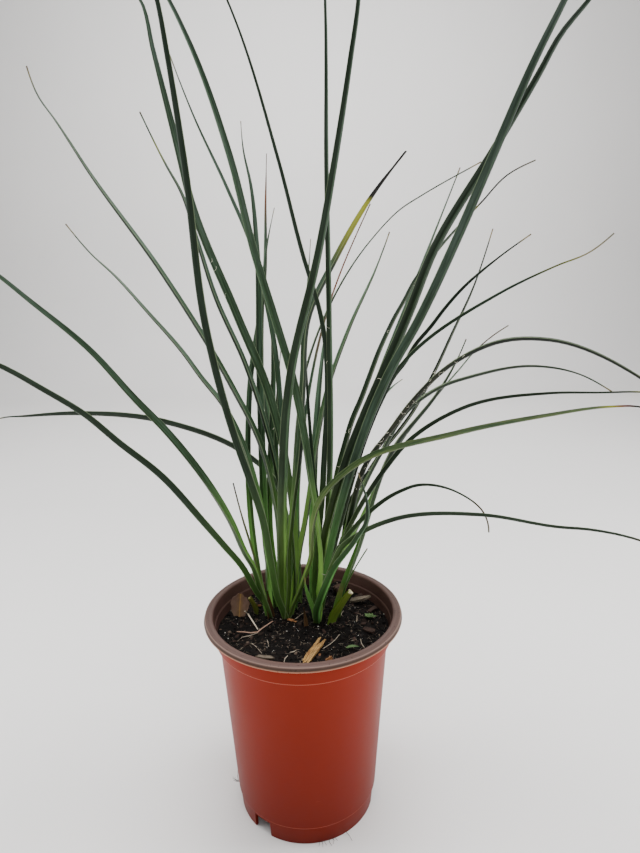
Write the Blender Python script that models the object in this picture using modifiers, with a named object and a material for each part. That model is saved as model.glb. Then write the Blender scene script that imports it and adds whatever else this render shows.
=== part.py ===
# Potted red yucca: a young clump of narrow, channelled leaves in a round nursery pot.
# Lengths are in millimetres and turned to metres by MM. X runs right, Y to the back and Z up.
# The origin is the middle of the pot's foot, on the surface that the pot stands on.

import math

import bmesh
import bpy
from mathutils import Matrix, Vector, noise

MM = 0.001
GAP = 0.3  # clearance between neighbours that touch

# Pot: a thin thermoformed shell with a flat rim, a collar, a tapered body and a stepped foot
POT_HEIGHT = 181.9
POT_STEPS = 48
WALL = 1.4
RIM_RADIUS = 82.5
RIM_TOP_RADIUS = 81.1
RIM_INNER_RADIUS = 74.6
RIM_DEPTH = 4.5
COLLAR_TOP_RADIUS = 75.5
COLLAR_RADIUS = 73.7
COLLAR_BOTTOM = 160.8
STACKING_LEDGE = 171.0
STACKING_LEDGE_WIDTH = 1.1
BODY_TOP_RADIUS = 70.6
FOOT_LINE = 17.2
FOOT_LINE_RADIUS = 60.9
FOOT_STEP = 1.0
FOOT_RADIUS = 58.6
FOOT_WALL = 2.6
FLOOR_UNDERSIDE = 9.0
NOTCHES = 3
NOTCH_WIDTH = 17.0
NOTCH_HEIGHT = 14.0
NOTCH_FIRST_ANGLE = 231.5
NOTCH_DEPTH = 14.0  # of the cutter, from well outside the foot to well inside it
DRAIN_HOLES = 6
DRAIN_HOLE_RADIUS = 4.0
DRAIN_HOLE_CIRCLE = 36.0
DRAIN_HOLE_STEPS = 12
DRAIN_HOLE_DEPTH = 8.0  # of the cutter, through the floor
FLOOR_FILLET = 1.5  # how far the floor's corner is drawn in
RIM_ROUNDING = 0.8

# Soil: fills the pot to about 16 mm under the rim
SOIL_TOP = 165.7
SOIL_EDGE_DROP = 1.6
SOIL_LUMPS = 0.8
SOIL_LUMP_SPACING = 9.0
SOIL_FLAT_RADIUS = 54.0
SOIL_RINGS = (66.0, 60.0)  # between the wall and the flat middle
SOIL_FLOOR_FILLET = 2.2
SOIL_STEPS = 36

# Leaves: a foot on the soil, then the points that the leaf runs through up to its tip
LEAF_RING_SPACING = 42.0  # along the leaf
LEAF_LEAST_RINGS = 6
LEAF_THICKNESS = 0.24  # of the width
LEAF_FOLD = 0.22  # how far the margins stand above the middle, of the width
LEAF_TIP_WIDTH = 0.7
LEAF_FOOT_SHARE = 0.7  # of the width, where the leaf stands on the soil
LEAF_FOOT_REACH = 0.2  # share of the length over which it comes to its full width
LEAF_TURNED_BY = 0.4  # share of the length over which it makes its turn
FOOT_HEIGHT = SOIL_TOP + GAP

# Each leaf's greatest width, its taper, its turn in degrees and its route. A larger taper keeps
# the width for longer before the point.
LEAVES = {
    "leaf_01": dict(width=7.5, taper=1.9, turn=30, route=[
        (-38, 15, 166), (-38, 15, 175), (-40, 11, 187), (-45, 5, 204),
        (-51, -1, 221), (-63, -8, 242), (-77, -17, 267), (-103, -34, 312),
        (-126, -50, 342), (-142, -63, 365), (-161, -79, 386), (-178, -95, 404),
        (-232, -140, 432), (-284, -206, 446),
    ]),
    "leaf_02": dict(width=8.2, taper=1.9, turn=-46, route=[
        (-33, 14, 166), (-34, 11, 177), (-36, 11, 187), (-39, 11, 200),
        (-42, 11, 212), (-49, 9, 228), (-58, 6, 255), (-102, -8, 338),
        (-122, -14, 365), (-149, -23, 404), (-183, -35, 441), (-197, -40, 456),
        (-240, -52, 492), (-282, -62, 512),
    ]),
    "leaf_03": dict(width=3.2, taper=4.0, turn=-6, route=[
        (-35, 22, 166), (-36, 22, 186), (-39, 22, 201), (-42, 22, 217),
        (-51, 23, 255), (-57, 24, 285),
    ]),
    "leaf_04": dict(width=6.8, taper=3.3, turn=10, route=[
        (-33, 20, 166), (-36, 35, 253), (-69, 57, 346), (-86, 63, 367),
        (-101, 70, 387), (-133, 82, 423), (-163, 94, 455), (-181, 100, 471),
        (-205, 110, 498),
    ]),
    "leaf_05": dict(width=5.2, taper=3.8, turn=20, route=[
        (-34, 26, 166), (-47, 53, 249), (-48, 96, 349), (-34, 144, 453),
        (-33, 173, 517), (-32, 195, 566),
    ]),
    "leaf_06": dict(width=5.0, taper=4.0, turn=0, route=[
        (-27, 35, 166), (-35, 54, 242), (-36, 83, 330), (-35, 117, 420),
        (-32, 134, 466), (-23, 152, 512),
    ]),
    "leaf_07": dict(width=6.2, taper=4.0, turn=0, route=[
        (-24, 29, 166), (-33, 39, 227), (-34, 46, 260), (-36, 75, 368),
        (-37, 106, 476), (-42, 123, 531), (-48, 132, 560), (-50, 140, 585),
    ]),
    "leaf_08": dict(width=5.6, taper=4.5, turn=0, route=[
        (-21, 41, 166), (-30, 55, 224), (-29, 78, 291), (-26, 103, 359),
        (-28, 130, 428),
    ]),
    "leaf_09": dict(width=8.4, taper=3.3, turn=-6, route=[
        (-21, 6, 166), (-29, 2, 232), (-33, -1, 264), (-40, -4, 293),
        (-52, -9, 339), (-66, -19, 419), (-70, -37, 526), (-74, -49, 589),
        (-76, -55, 613), (-112, -75, 698),
    ]),
    "leaf_10": dict(width=7.0, taper=4.0, turn=6, route=[
        (-24, 15, 166), (-23, 22, 266), (-35, 27, 320), (-55, 32, 363),
        (-109, 45, 456), (-163, 57, 534), (-187, 63, 573), (-200, 67, 592),
        (-207, 70, 613),
    ]),
    "leaf_11": dict(width=6.4, taper=5.0, turn=6, route=[
        (-19, 21, 166), (-15, 22, 206), (-18, 25, 272), (-44, 32, 383),
        (-66, 37, 437), (-79, 41, 483), (-89, 44, 517), (-99, 46, 536),
        (-117, 50, 575),
    ]),
    "leaf_12": dict(width=8.0, taper=5.0, turn=34, route=[
        (-17, 33, 166), (-12, 37, 196), (-14, 43, 234), (-27, 56, 278),
        (-46, 63, 294), (-123, 81, 323), (-204, 100, 328), (-262, 112, 324),
        (-291, 118, 321), (-300, 120, 318),
    ]),
    "leaf_13": dict(width=5.6, taper=3.0, turn=-12, route=[
        (-15, 25, 166), (-16, 27, 191), (-17, 28, 203), (-17, 32, 243),
        (-17, 36, 281), (-23, 54, 407), (-39, 66, 478), (-57, 74, 522),
        (-83, 85, 580), (-102, 95, 631),
    ]),
    "leaf_14": dict(width=5.0, taper=2.7, turn=0, route=[
        (-12, 42, 166), (-18, 45, 191), (-21, 47, 203), (-21, 50, 217),
        (-23, 62, 276), (-22, 75, 334), (-17, 90, 391),
    ]),
    "leaf_15": dict(width=7.9, taper=2.3, turn=4, route=[
        (-18, 17, 166), (-17, 14, 186), (-16, 11, 203), (-12, -14, 296),
        (-6, -22, 365), (-1, -27, 394), (6, -33, 422), (14, -39, 451),
        (29, -55, 523), (38, -71, 576), (42, -80, 603), (34, -104, 690),
    ]),
    "leaf_16": dict(width=7.4, taper=5.0, turn=12, route=[
        (-16, 9, 166), (-14, 9, 177), (-12, 9, 189), (-11, 9, 203),
        (-11, 9, 215), (-6, 9, 265), (1, 10, 317), (5, 13, 371),
        (10, 15, 421), (31, 17, 464), (59, 20, 510), (83, 22, 540),
    ]),
    "leaf_17": dict(width=7.2, taper=4.2, turn=-40, route=[
        (-13, 14, 166), (-8, 16, 186), (-7, 15, 200), (-7, 16, 211),
        (-12, 20, 293), (-26, 24, 363), (-48, 27, 422), (-81, 34, 513),
        (-86, 36, 538), (-102, 42, 615), (-109, 45, 648), (-150, 54, 676),
    ]),
    "leaf_18": dict(width=5.2, taper=1.8, turn=-20, route=[
        (-7, 25, 166), (-6, 26, 178), (-4, 29, 192), (-4, 41, 244),
        (5, 74, 334), (27, 111, 424), (67, 150, 514),
    ]),
    "leaf_19": dict(width=6.2, taper=4.5, turn=-20, route=[
        (-10, 18, 166), (-8, 19, 183), (-6, 19, 198), (-3, 21, 213),
        (-1, 22, 226), (2, 23, 240), (17, 49, 324), (21, 56, 343),
        (44, 78, 406), (68, 98, 455), (81, 110, 487),
    ]),
    "leaf_20": dict(width=5.2, taper=1.6, turn=-24, route=[
        (-2, 36, 166), (-9, 42, 206), (-8, 47, 237), (-7, 53, 268),
        (9, 80, 382), (66, 110, 482), (92, 120, 507), (112, 126, 519),
        (167, 142, 548),
    ]),
    "leaf_21": dict(width=5.2, taper=3.2, turn=0, route=[
        (-4, 42, 166), (-6, 69, 232), (-3, 110, 311), (3, 156, 395),
        (10, 206, 485),
    ]),
    "leaf_22": dict(width=7.2, taper=3.3, turn=-72, route=[
        (5, 9, 166), (11, 6, 181), (12, 2, 196), (14, 1, 212),
        (7, 3, 295), (-4, -2, 373), (-17, -6, 424), (-29, -9, 468),
        (-43, -15, 534), (-66, -23, 605), (-75, -25, 624), (-128, -38, 674),
    ]),
    "leaf_23": dict(width=7.4, taper=1.6, turn=-16, route=[
        (7, 15, 166), (8, 14, 197), (17, 8, 295), (17, -6, 426),
        (5, -11, 469), (-10, -20, 532), (-37, -35, 620), (-78, -52, 692),
    ]),
    "leaf_24": dict(width=5.0, taper=2.5, turn=-12, route=[
        (7, 23, 166), (14, 23, 231), (9, 22, 304), (6, 21, 371),
        (5, 20, 434),
    ]),
    "leaf_25": dict(width=5.0, taper=2.7, turn=18, route=[
        (12, 18, 166), (15, 18, 180), (16, 17, 196), (20, 10, 235),
        (24, 4, 293), (25, -10, 421), (24, -25, 528), (24, -42, 616),
        (20, -66, 694),
    ]),
    "leaf_26": dict(width=7.6, taper=1.6, turn=30, route=[
        (-9, 13, 166), (-6, 9, 181), (-2, 4, 195), (2, 0, 208),
        (6, -6, 222), (9, -11, 236), (9, -16, 246), (17, -23, 287),
        (43, -30, 316), (114, -32, 339), (185, -20, 349), (236, -7, 352),
        (264, 0, 350), (300, 8, 333),
    ]),
    "leaf_27": dict(width=8.6, taper=5.0, turn=-34, route=[
        (10, 4, 166), (15, 7, 183), (18, 3, 200), (39, -16, 300),
        (67, -30, 383), (87, -38, 423), (108, -51, 475), (125, -63, 522),
        (144, -81, 576), (153, -90, 598), (174, -120, 664),
    ]),
    "leaf_28": dict(width=8.4, taper=3.6, turn=-60, route=[
        (12, 13, 166), (15, 13, 179), (16, 12, 196), (18, 4, 231),
        (35, -5, 303), (83, -21, 430), (96, -27, 467), (131, -40, 530),
        (154, -50, 572), (164, -55, 592), (177, -60, 608), (214, -78, 658),
    ]),
    "leaf_29": dict(width=5.0, taper=4.0, turn=-20, route=[
        (16, 23, 166), (21, 26, 184), (25, 30, 197), (31, 34, 213),
        (35, 36, 223), (42, 48, 255), (55, 56, 274), (71, 66, 295),
        (89, 74, 315), (99, 79, 327), (118, 92, 356), (142, 111, 400),
        (160, 126, 433), (183, 150, 490),
    ]),
    "leaf_30": dict(width=5.6, taper=5.0, turn=-44, route=[
        (15, 18, 166), (18, 19, 178), (21, 20, 193), (26, 20, 208),
        (28, 21, 224), (35, 25, 251), (70, 44, 350), (80, 46, 369),
        (89, 48, 380), (97, 51, 393), (110, 53, 408), (123, 57, 424),
        (135, 60, 437), (164, 67, 461), (195, 74, 482),
    ]),
    "leaf_31": dict(width=7.4, taper=1.9, turn=6, route=[
        (13, 23, 166), (18, 25, 187), (24, 26, 235), (33, 36, 292),
        (39, 40, 313), (45, 44, 332), (53, 48, 350), (62, 53, 373),
        (67, 55, 386), (74, 59, 401), (81, 62, 415), (90, 66, 430),
        (97, 69, 443), (118, 75, 470), (157, 88, 510), (177, 94, 530),
        (203, 100, 543),
    ]),
    "leaf_32": dict(width=4.7, taper=4.5, turn=-16, route=[
        (12, 31, 166), (29, 50, 254), (65, 79, 350), (106, 111, 445),
        (149, 146, 544),
    ]),
    "leaf_33": dict(width=5.2, taper=3.3, turn=-38, route=[
        (16, 28, 166), (18, 29, 176), (20, 30, 188), (20, 32, 200),
        (36, 33, 270), (60, 33, 336), (79, 37, 372), (163, 45, 435),
        (208, 48, 456), (236, 50, 467), (254, 51, 481),
    ]),
    "leaf_34": dict(width=5.2, taper=2.0, turn=-12, route=[
        (17, 35, 166), (23, 39, 182), (30, 43, 197), (38, 48, 210),
        (47, 54, 225), (95, 84, 307), (114, 93, 328), (132, 101, 348),
        (149, 109, 365), (159, 115, 375), (177, 121, 390), (197, 130, 401),
    ]),
    "leaf_35": dict(width=6.0, taper=4.0, turn=-12, route=[
        (18, 15, 166), (18, 14, 183), (22, 13, 198), (27, 14, 213),
        (32, 14, 229), (65, 21, 306), (93, 26, 348), (117, 29, 363),
        (141, 32, 370), (188, 37, 377), (229, 41, 370), (262, 45, 353),
    ]),
    "leaf_36": dict(width=7.0, taper=2.7, turn=0, route=[
        (15, 13, 166), (19, 9, 189), (24, 6, 207), (29, 4, 221),
        (34, 1, 236), (37, -2, 247), (55, -10, 315), (70, -14, 337),
        (85, -16, 359), (115, -24, 391), (147, -34, 407), (175, -42, 408),
        (226, -70, 386), (284, -98, 318),
    ]),
    "leaf_37": dict(width=5.6, taper=1.9, turn=-46, route=[
        (17, 9, 166), (18, 6, 189), (23, 1, 207), (28, -2, 222),
        (32, -5, 236), (66, -18, 308), (83, -19, 330), (122, -22, 356),
        (186, -20, 366), (224, -20, 366), (253, -20, 366), (300, -34, 361),
    ]),
    "leaf_38": dict(width=5.4, taper=2.7, turn=-42, route=[
        (14, 6, 166), (16, -3, 190), (19, -11, 207), (22, -16, 216),
        (29, -20, 241), (41, -25, 262), (76, -33, 296), (87, -35, 301),
        (115, -40, 298), (136, -47, 281), (138, -50, 270),
    ]),
    "leaf_39": dict(width=6.0, taper=1.7, turn=-30, route=[
        (6, 1, 166), (15, -10, 192), (19, -16, 209), (26, -29, 235),
        (33, -33, 252), (45, -38, 264), (71, -50, 281), (126, -76, 294),
        (170, -103, 296), (183, -111, 298), (206, -130, 299), (256, -206, 262),
    ]),
    "leaf_40": dict(width=7.6, taper=4.5, turn=-12, route=[
        (13, 1, 166), (13, -10, 186), (16, -16, 199), (21, -24, 217),
        (24, -27, 226), (43, -44, 264), (50, -48, 280), (50, -50, 292),
        (43, -54, 319),
    ]),
    "leaf_41": dict(width=7.6, taper=4.5, turn=-36, route=[
        (27, 10, 166), (31, 13, 179), (35, 14, 191), (46, 16, 221),
        (86, 47, 314), (104, 55, 333), (116, 61, 346), (134, 71, 372),
        (146, 80, 395),
    ]),
    "leaf_42": dict(width=3.5, taper=2.0, turn=0, route=[
        (31, 11, 166), (33, 7, 181), (36, 4, 198), (43, 0, 216),
        (54, 2, 234),
    ]),
    "leaf_43": dict(width=6.0, taper=2.5, turn=-30, route=[
        (6, 5, 166), (4, 0, 190), (2, -5, 205), (2, -8, 214),
    ]),
    "leaf_44": dict(width=6.5, taper=3.5, turn=6, route=[
        (8, 40, 166), (9, 64, 250), (14, 106, 326), (20, 158, 371),
        (24, 204, 392),
    ]),
    "leaf_45": dict(width=6.5, taper=3.5, turn=-10, route=[
        (-14, 50, 166), (-21, 70, 245), (-32, 108, 320), (-42, 160, 368),
        (-48, 206, 394),
    ]),
    "leaf_46": dict(width=6.0, taper=3.5, turn=8, route=[
        (17, 44, 166), (32, 66, 240), (56, 104, 300), (82, 152, 330),
        (106, 198, 338),
    ]),
}

# Leaf bases that were cut off, and dry sheaths round two of the crowns
CUT_STUBS = {
    "cut_stub_left": dict(radius=2.6, route=[(-42, 20, 168.6), (-45, 21, 174), (-48, 21, 180)]),
    "cut_stub_right": dict(radius=3.2, route=[(24, 2, 169.4), (32, 1, 182), (41, 1, 195)]),
}
DRY_SHEATHS = {
    "dry_sheath_left": dict(width=7.5, taper=1.7, turn=0, route=[
        (-29, 12, 166), (-30, 13, 178), (-31, 15, 190),
    ]),
    "dry_sheath_middle": dict(width=4.5, taper=1.7, turn=0, route=[
        (2, -3, 166), (1, -1, 174), (0, 1, 182),
    ]),
}

# Litter on the soil
TWIG_RADIUS = 0.6
TWIG = [(-55, -10, 166.8), (-46, -12, 166.8), (-37, -11, 167), (-31, -3, 166.9), (-26, 1, 166.9)]
STALK = [(-52, 8, 171), (-45, 3, 168.6), (-38, -4, 166.9)]
DEAD_LEAF_SIZE = (15.0, 22.0, 0.6)
DEAD_LEAF_CUP = 0.02  # rise for each square millimetre of distance across
DEAD_LEAF_STEPS = 14
DEAD_LEAF_PLACE = (-55, 14, 177.5)
DEAD_LEAF_TILT = (68, 8, 12)
CHIPS = {
    "wood_splinter": dict(size=(33, 7, 3), place=(9.4, -44, 167.8), turn=(0, 0, 59), point=0.35),
    "bark_chip_right": dict(size=(22, 6, 2), place=(51, 36, 169.6), turn=(0, -14, -4), point=0.5),
    "bark_chip_back": dict(size=(13, 9, 6), place=(33, 52, 169.4), turn=(0, 0, 30), point=0.6),
    "bark_chip_front": dict(size=(18, 4, 2), place=(-29, -47, 167.2), turn=(0, 0, -8), point=0.5),
}

CHIP_WANDER = 0.2  # of the width, along the sides of a chip
CHIP_END_HEIGHT = 0.6  # of the thickness, at the ends
SMOOTH_UP_TO = 35  # degrees between faces

COLOURS = {
    "pot": (0.26, 0.035, 0.018, 1),
    "soil": (0.012, 0.009, 0.008, 1),
    "leaf": (0.045, 0.115, 0.055, 1),
    "cut_leaf": (0.12, 0.17, 0.03, 1),
    "dry": (0.16, 0.09, 0.05, 1),
    "wood": (0.40, 0.24, 0.12, 1),
    "bark": (0.035, 0.022, 0.016, 1),
}
ROUGHNESS = {"pot": 0.38, "soil": 0.95, "leaf": 0.5, "cut_leaf": 0.5, "dry": 0.8, "wood": 0.8, "bark": 0.9}


def clear_scene():
    for obj in list(bpy.data.objects):
        bpy.data.objects.remove(obj, do_unlink=True)


def collection(name):
    made = bpy.data.collections.new(name)
    bpy.context.scene.collection.children.link(made)
    return made


def material(name):
    made = bpy.data.materials.new(name)
    made.use_nodes = True
    shader = made.node_tree.nodes["Principled BSDF"]
    shader.inputs["Base Color"].default_value = COLOURS[name]
    shader.inputs["Roughness"].default_value = ROUGHNESS[name]
    shader.inputs["Metallic"].default_value = 0
    return made


def object_from(name, bm, finish, where):
    """An object made of a bmesh in millimetres, turned to metres and shaded smooth."""
    bmesh.ops.scale(bm, vec=(MM, MM, MM), verts=bm.verts)
    mesh = bpy.data.meshes.new(name)
    bm.to_mesh(mesh)
    bm.free()
    mesh.shade_smooth()
    mesh.set_sharp_from_angle(angle=math.radians(SMOOTH_UP_TO))
    made = bpy.data.objects.new(name, mesh)
    where.objects.link(made)
    if finish:
        made.data.materials.append(finish)
    return made


def loft(rings):
    """A closed body through rings with the same number of points, with a face over each end."""
    bm = bmesh.new()
    rows = [[bm.verts.new(point) for point in ring] for ring in rings]
    for low, high in zip(rows, rows[1:]):
        for i in range(len(low)):
            j = (i + 1) % len(low)
            bm.faces.new((low[i], low[j], high[j], high[i]))
    bm.faces.new(list(reversed(rows[0])))
    bm.faces.new(rows[-1])
    return bm


def circle(radius, height, steps):
    return [
        Vector((radius * math.cos(a), radius * math.sin(a), height))
        for a in (2 * math.pi * i / steps for i in range(steps))
    ]


def body_radius(height):
    """Outside radius of the pot's tapered body."""
    share = (height - FOOT_LINE) / (COLLAR_BOTTOM - FOOT_LINE)
    return FOOT_LINE_RADIUS + share * (BODY_TOP_RADIUS - FOOT_LINE_RADIUS)


def pot_profile():
    """(radius, height) from the middle of the inside floor, over the rim, to the middle of the underside."""
    lip = POT_HEIGHT - RIM_DEPTH
    ledge_radius = COLLAR_RADIUS - WALL
    inner_collar = COLLAR_TOP_RADIUS - WALL
    floor_top = FLOOR_UNDERSIDE + WALL
    foot_inside = FOOT_RADIUS - FOOT_WALL
    return [
        (0, floor_top),
        (body_radius(floor_top) - WALL - FLOOR_FILLET, floor_top),
        (body_radius(FOOT_LINE) - WALL, FOOT_LINE),
        (BODY_TOP_RADIUS - WALL, COLLAR_BOTTOM + WALL),
        (ledge_radius, COLLAR_BOTTOM + WALL),
        (inner_collar - STACKING_LEDGE_WIDTH, STACKING_LEDGE),
        (inner_collar, STACKING_LEDGE + RIM_ROUNDING),
        (RIM_INNER_RADIUS, POT_HEIGHT - 2 * RIM_ROUNDING),
        (RIM_INNER_RADIUS + 0.6 * RIM_ROUNDING, POT_HEIGHT - 0.6 * RIM_ROUNDING),
        (RIM_INNER_RADIUS + 2.2 * RIM_ROUNDING, POT_HEIGHT),
        (RIM_TOP_RADIUS - RIM_ROUNDING, POT_HEIGHT),
        (RIM_TOP_RADIUS + 0.6 * RIM_ROUNDING, POT_HEIGHT - RIM_ROUNDING),
        (RIM_RADIUS, lip + 0.6),
        (RIM_RADIUS - 0.4, lip),
        (RIM_RADIUS - WALL, lip),
        (RIM_RADIUS - WALL - 1, POT_HEIGHT - WALL),
        (COLLAR_TOP_RADIUS + 0.6, POT_HEIGHT - WALL),
        (COLLAR_TOP_RADIUS, lip - 1),
        (COLLAR_RADIUS, COLLAR_BOTTOM + 0.6),
        (COLLAR_RADIUS - 0.6, COLLAR_BOTTOM),
        (BODY_TOP_RADIUS, COLLAR_BOTTOM),
        (FOOT_LINE_RADIUS, FOOT_LINE),
        (FOOT_LINE_RADIUS - FOOT_STEP, FOOT_LINE - 0.8),
        (FOOT_RADIUS, 0),
        (foot_inside, 0),
        (foot_inside + 0.6, FLOOR_UNDERSIDE),
        (0, FLOOR_UNDERSIDE),
    ]


def cutter(name, bm, where):
    made = object_from(name, bm, None, where)
    made.hide_render = True
    made.display_type = "WIRE"
    return made


def make_pot(parts, cutters, finish):
    bm = bmesh.new()
    verts = [bm.verts.new((radius, 0, height)) for radius, height in pot_profile()]
    for a, b in zip(verts, verts[1:]):
        bm.edges.new((a, b))
    pot = object_from("pot", bm, finish, parts)
    turned = pot.modifiers.new("turned", "SCREW")
    turned.axis = "Z"
    turned.steps = POT_STEPS
    turned.render_steps = POT_STEPS
    turned.use_merge_vertices = True
    turned.merge_threshold = 0.0001
    turned.use_smooth_shade = True

    for i in range(NOTCHES):
        angle = math.radians(NOTCH_FIRST_ANGLE + 360 / NOTCHES * i)
        bm = bmesh.new()
        bmesh.ops.create_cube(bm, size=1)
        bmesh.ops.scale(bm, vec=(NOTCH_DEPTH, NOTCH_WIDTH, 2 * NOTCH_HEIGHT), verts=bm.verts)
        bmesh.ops.translate(bm, vec=(FOOT_RADIUS, 0, 0), verts=bm.verts)
        bmesh.ops.rotate(bm, matrix=Matrix.Rotation(angle, 3, "Z"), verts=bm.verts)
        cutter(f"notch_{i + 1}", bm, cutters)
    for i in range(DRAIN_HOLES):
        angle = 2 * math.pi * i / DRAIN_HOLES
        bm = bmesh.new()
        bmesh.ops.create_cone(
            bm,
            cap_ends=True,
            segments=DRAIN_HOLE_STEPS,
            radius1=DRAIN_HOLE_RADIUS,
            radius2=DRAIN_HOLE_RADIUS,
            depth=DRAIN_HOLE_DEPTH,
        )
        x = DRAIN_HOLE_CIRCLE * math.cos(angle)
        y = DRAIN_HOLE_CIRCLE * math.sin(angle)
        bmesh.ops.translate(bm, vec=(x, y, FLOOR_UNDERSIDE), verts=bm.verts)
        cutter(f"drain_hole_{i + 1}", bm, cutters)

    cut = pot.modifiers.new("notches and holes", "BOOLEAN")
    cut.operation = "DIFFERENCE"
    cut.operand_type = "COLLECTION"
    cut.collection = cutters
    cut.solver = "EXACT"


def soil_height(x, y):
    """Height of the soil: level at the crowns, a little lower and lumpy towards the wall."""
    radius = math.hypot(x, y)
    out = max(0.0, (radius - SOIL_FLAT_RADIUS) / (BODY_TOP_RADIUS - SOIL_FLAT_RADIUS))
    lump = SOIL_LUMPS * noise.noise(Vector((x, y, SOIL_TOP)) / SOIL_LUMP_SPACING)
    return SOIL_TOP + min(out, 1) * (lump - SOIL_EDGE_DROP)


def make_soil(parts, finish):
    ledge = COLLAR_BOTTOM + WALL
    floor = FLOOR_UNDERSIDE + WALL + GAP
    rings = [
        circle(body_radius(floor) - WALL - SOIL_FLOOR_FILLET - GAP, floor, SOIL_STEPS),
        circle(body_radius(FOOT_LINE) - WALL - 2 * GAP, FOOT_LINE, SOIL_STEPS),
        circle(BODY_TOP_RADIUS - WALL - 2 * GAP, ledge, SOIL_STEPS),
        circle(BODY_TOP_RADIUS - WALL - 2 * GAP, ledge + GAP, SOIL_STEPS),
        circle(COLLAR_RADIUS - WALL - 2 * GAP, ledge + 2 * GAP, SOIL_STEPS),
    ]
    for radius in (COLLAR_RADIUS - WALL - 2 * GAP, *SOIL_RINGS, SOIL_FLAT_RADIUS):
        ring = circle(radius, 0, SOIL_STEPS)
        for point in ring:
            point.z = soil_height(point.x, point.y)
        rings.append(ring)
    object_from("soil", loft(rings), finish, parts)


def smooth_route(points):
    """Evenly spaced points on a smooth curve through the given points."""
    points = [Vector(p) for p in points]
    spans = [(b - a).length for a, b in zip(points, points[1:])]
    count = max(LEAF_LEAST_RINGS, round(sum(spans) / LEAF_RING_SPACING) + 1)
    starts = [sum(spans[:i]) for i in range(len(points))]
    slopes = [(b - a) / d for a, b, d in zip(points, points[1:], spans)]
    tangents = [1.5 * slopes[0] - 0.5 * (points[2] - points[0]) / (spans[0] + spans[1])]
    for i in range(1, len(points) - 1):
        before, after = spans[i - 1], spans[i]
        tangents.append((slopes[i - 1] * after + slopes[i] * before) / (before + after))
    tangents.append(1.5 * slopes[-1] - 0.5 * (points[-1] - points[-3]) / (spans[-1] + spans[-2]))
    route = []
    for k in range(count):
        along = sum(spans) * k / (count - 1)
        i = max(j for j in range(len(spans)) if starts[j] <= along + 1e-6)
        s = (along - starts[i]) / spans[i]
        route.append(
            points[i] * (2 * s**3 - 3 * s**2 + 1)
            + tangents[i] * spans[i] * (s**3 - 2 * s**2 + s)
            + points[i + 1] * (3 * s**2 - 2 * s**3)
            + tangents[i + 1] * spans[i] * (s**3 - s**2)
        )
    return route


def leaf_section(width):
    """A shallow channel with raised margins and a keel below. X runs across, Y to the upper face."""
    half = width / 2
    fold = LEAF_FOLD * width
    thick = LEAF_THICKNESS * width
    return [
        (-half, fold),
        (-0.5 * half, 0.45 * fold - 0.7 * thick),
        (0, -thick),
        (0.5 * half, 0.45 * fold - 0.7 * thick),
        (half, fold),
        (0, 0),
    ]


def smooth_step(share):
    share = min(max(share, 0), 1)
    return share * share * (3 - 2 * share)


def leaf_width(width, taper, share):
    foot = LEAF_FOOT_SHARE + (1 - LEAF_FOOT_SHARE) * smooth_step(share / LEAF_FOOT_REACH)
    return max(LEAF_TIP_WIDTH, width * foot * (1 - share**taper))


def leaf_rings(width, taper, turn, route):
    """Sections along the route. The first lies level, so that the foot stands flat on the soil."""
    centres = smooth_route(route)
    last = len(centres) - 1
    heading = Vector(route[-1]) - Vector(route[0])
    side_on = Vector((-heading.y, heading.x, 0)).normalized()
    rings = []
    for k, centre in enumerate(centres):
        share = k / last
        along = centres[min(k + 1, last)] - centres[max(k - 1, 0)]
        along = Vector((0, 0, 1)) if k == 0 else along.normalized()
        side = (side_on - side_on.dot(along) * along).normalized()
        angle = math.radians(turn * smooth_step(share / LEAF_TURNED_BY))
        side = Matrix.Rotation(angle, 3, along) @ side
        up = along.cross(side)
        section = leaf_section(leaf_width(width, taper, share))
        rings.append([centre + side * x + up * y for x, y in section])
    return rings


def make_leaf(name, leaf, parts, finish):
    x, y, _ = leaf["route"][0]
    route = [(x, y, FOOT_HEIGHT)] + leaf["route"][1:]
    object_from(name, loft(leaf_rings(leaf["width"], leaf["taper"], leaf["turn"], route)), finish, parts)


def make_tube(name, route, radius, parts, finish):
    """A thin rod along the given points, as a curve with a round bevel."""
    curve = bpy.data.curves.new(name, "CURVE")
    curve.dimensions = "3D"
    curve.bevel_depth = radius * MM
    curve.bevel_resolution = 2
    curve.use_fill_caps = True
    spline = curve.splines.new("POLY")
    spline.points.add(len(route) - 1)
    for point, place in zip(spline.points, route):
        point.co = (*(Vector(place) * MM), 1)
    curve.materials.append(finish)
    parts.objects.link(bpy.data.objects.new(name, curve))


def make_dead_leaf(parts, finish):
    """A small round leaf, cupped across its length and stood up on its edge."""
    length, height, thickness = DEAD_LEAF_SIZE
    bm = bmesh.new()
    bmesh.ops.create_circle(bm, cap_ends=True, cap_tris=True, segments=DEAD_LEAF_STEPS, radius=0.5)
    bmesh.ops.scale(bm, vec=(length, height, 1), verts=bm.verts)
    for vert in bm.verts:
        vert.co.z = DEAD_LEAF_CUP * vert.co.x**2
    turn = [math.radians(angle) for angle in DEAD_LEAF_TILT]
    made = object_from("dead_leaf", bm, finish, parts)
    made.location = Vector(DEAD_LEAF_PLACE) * MM
    made.rotation_euler = turn
    shell = made.modifiers.new("thickness", "SOLIDIFY")
    shell.thickness = thickness * MM


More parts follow.
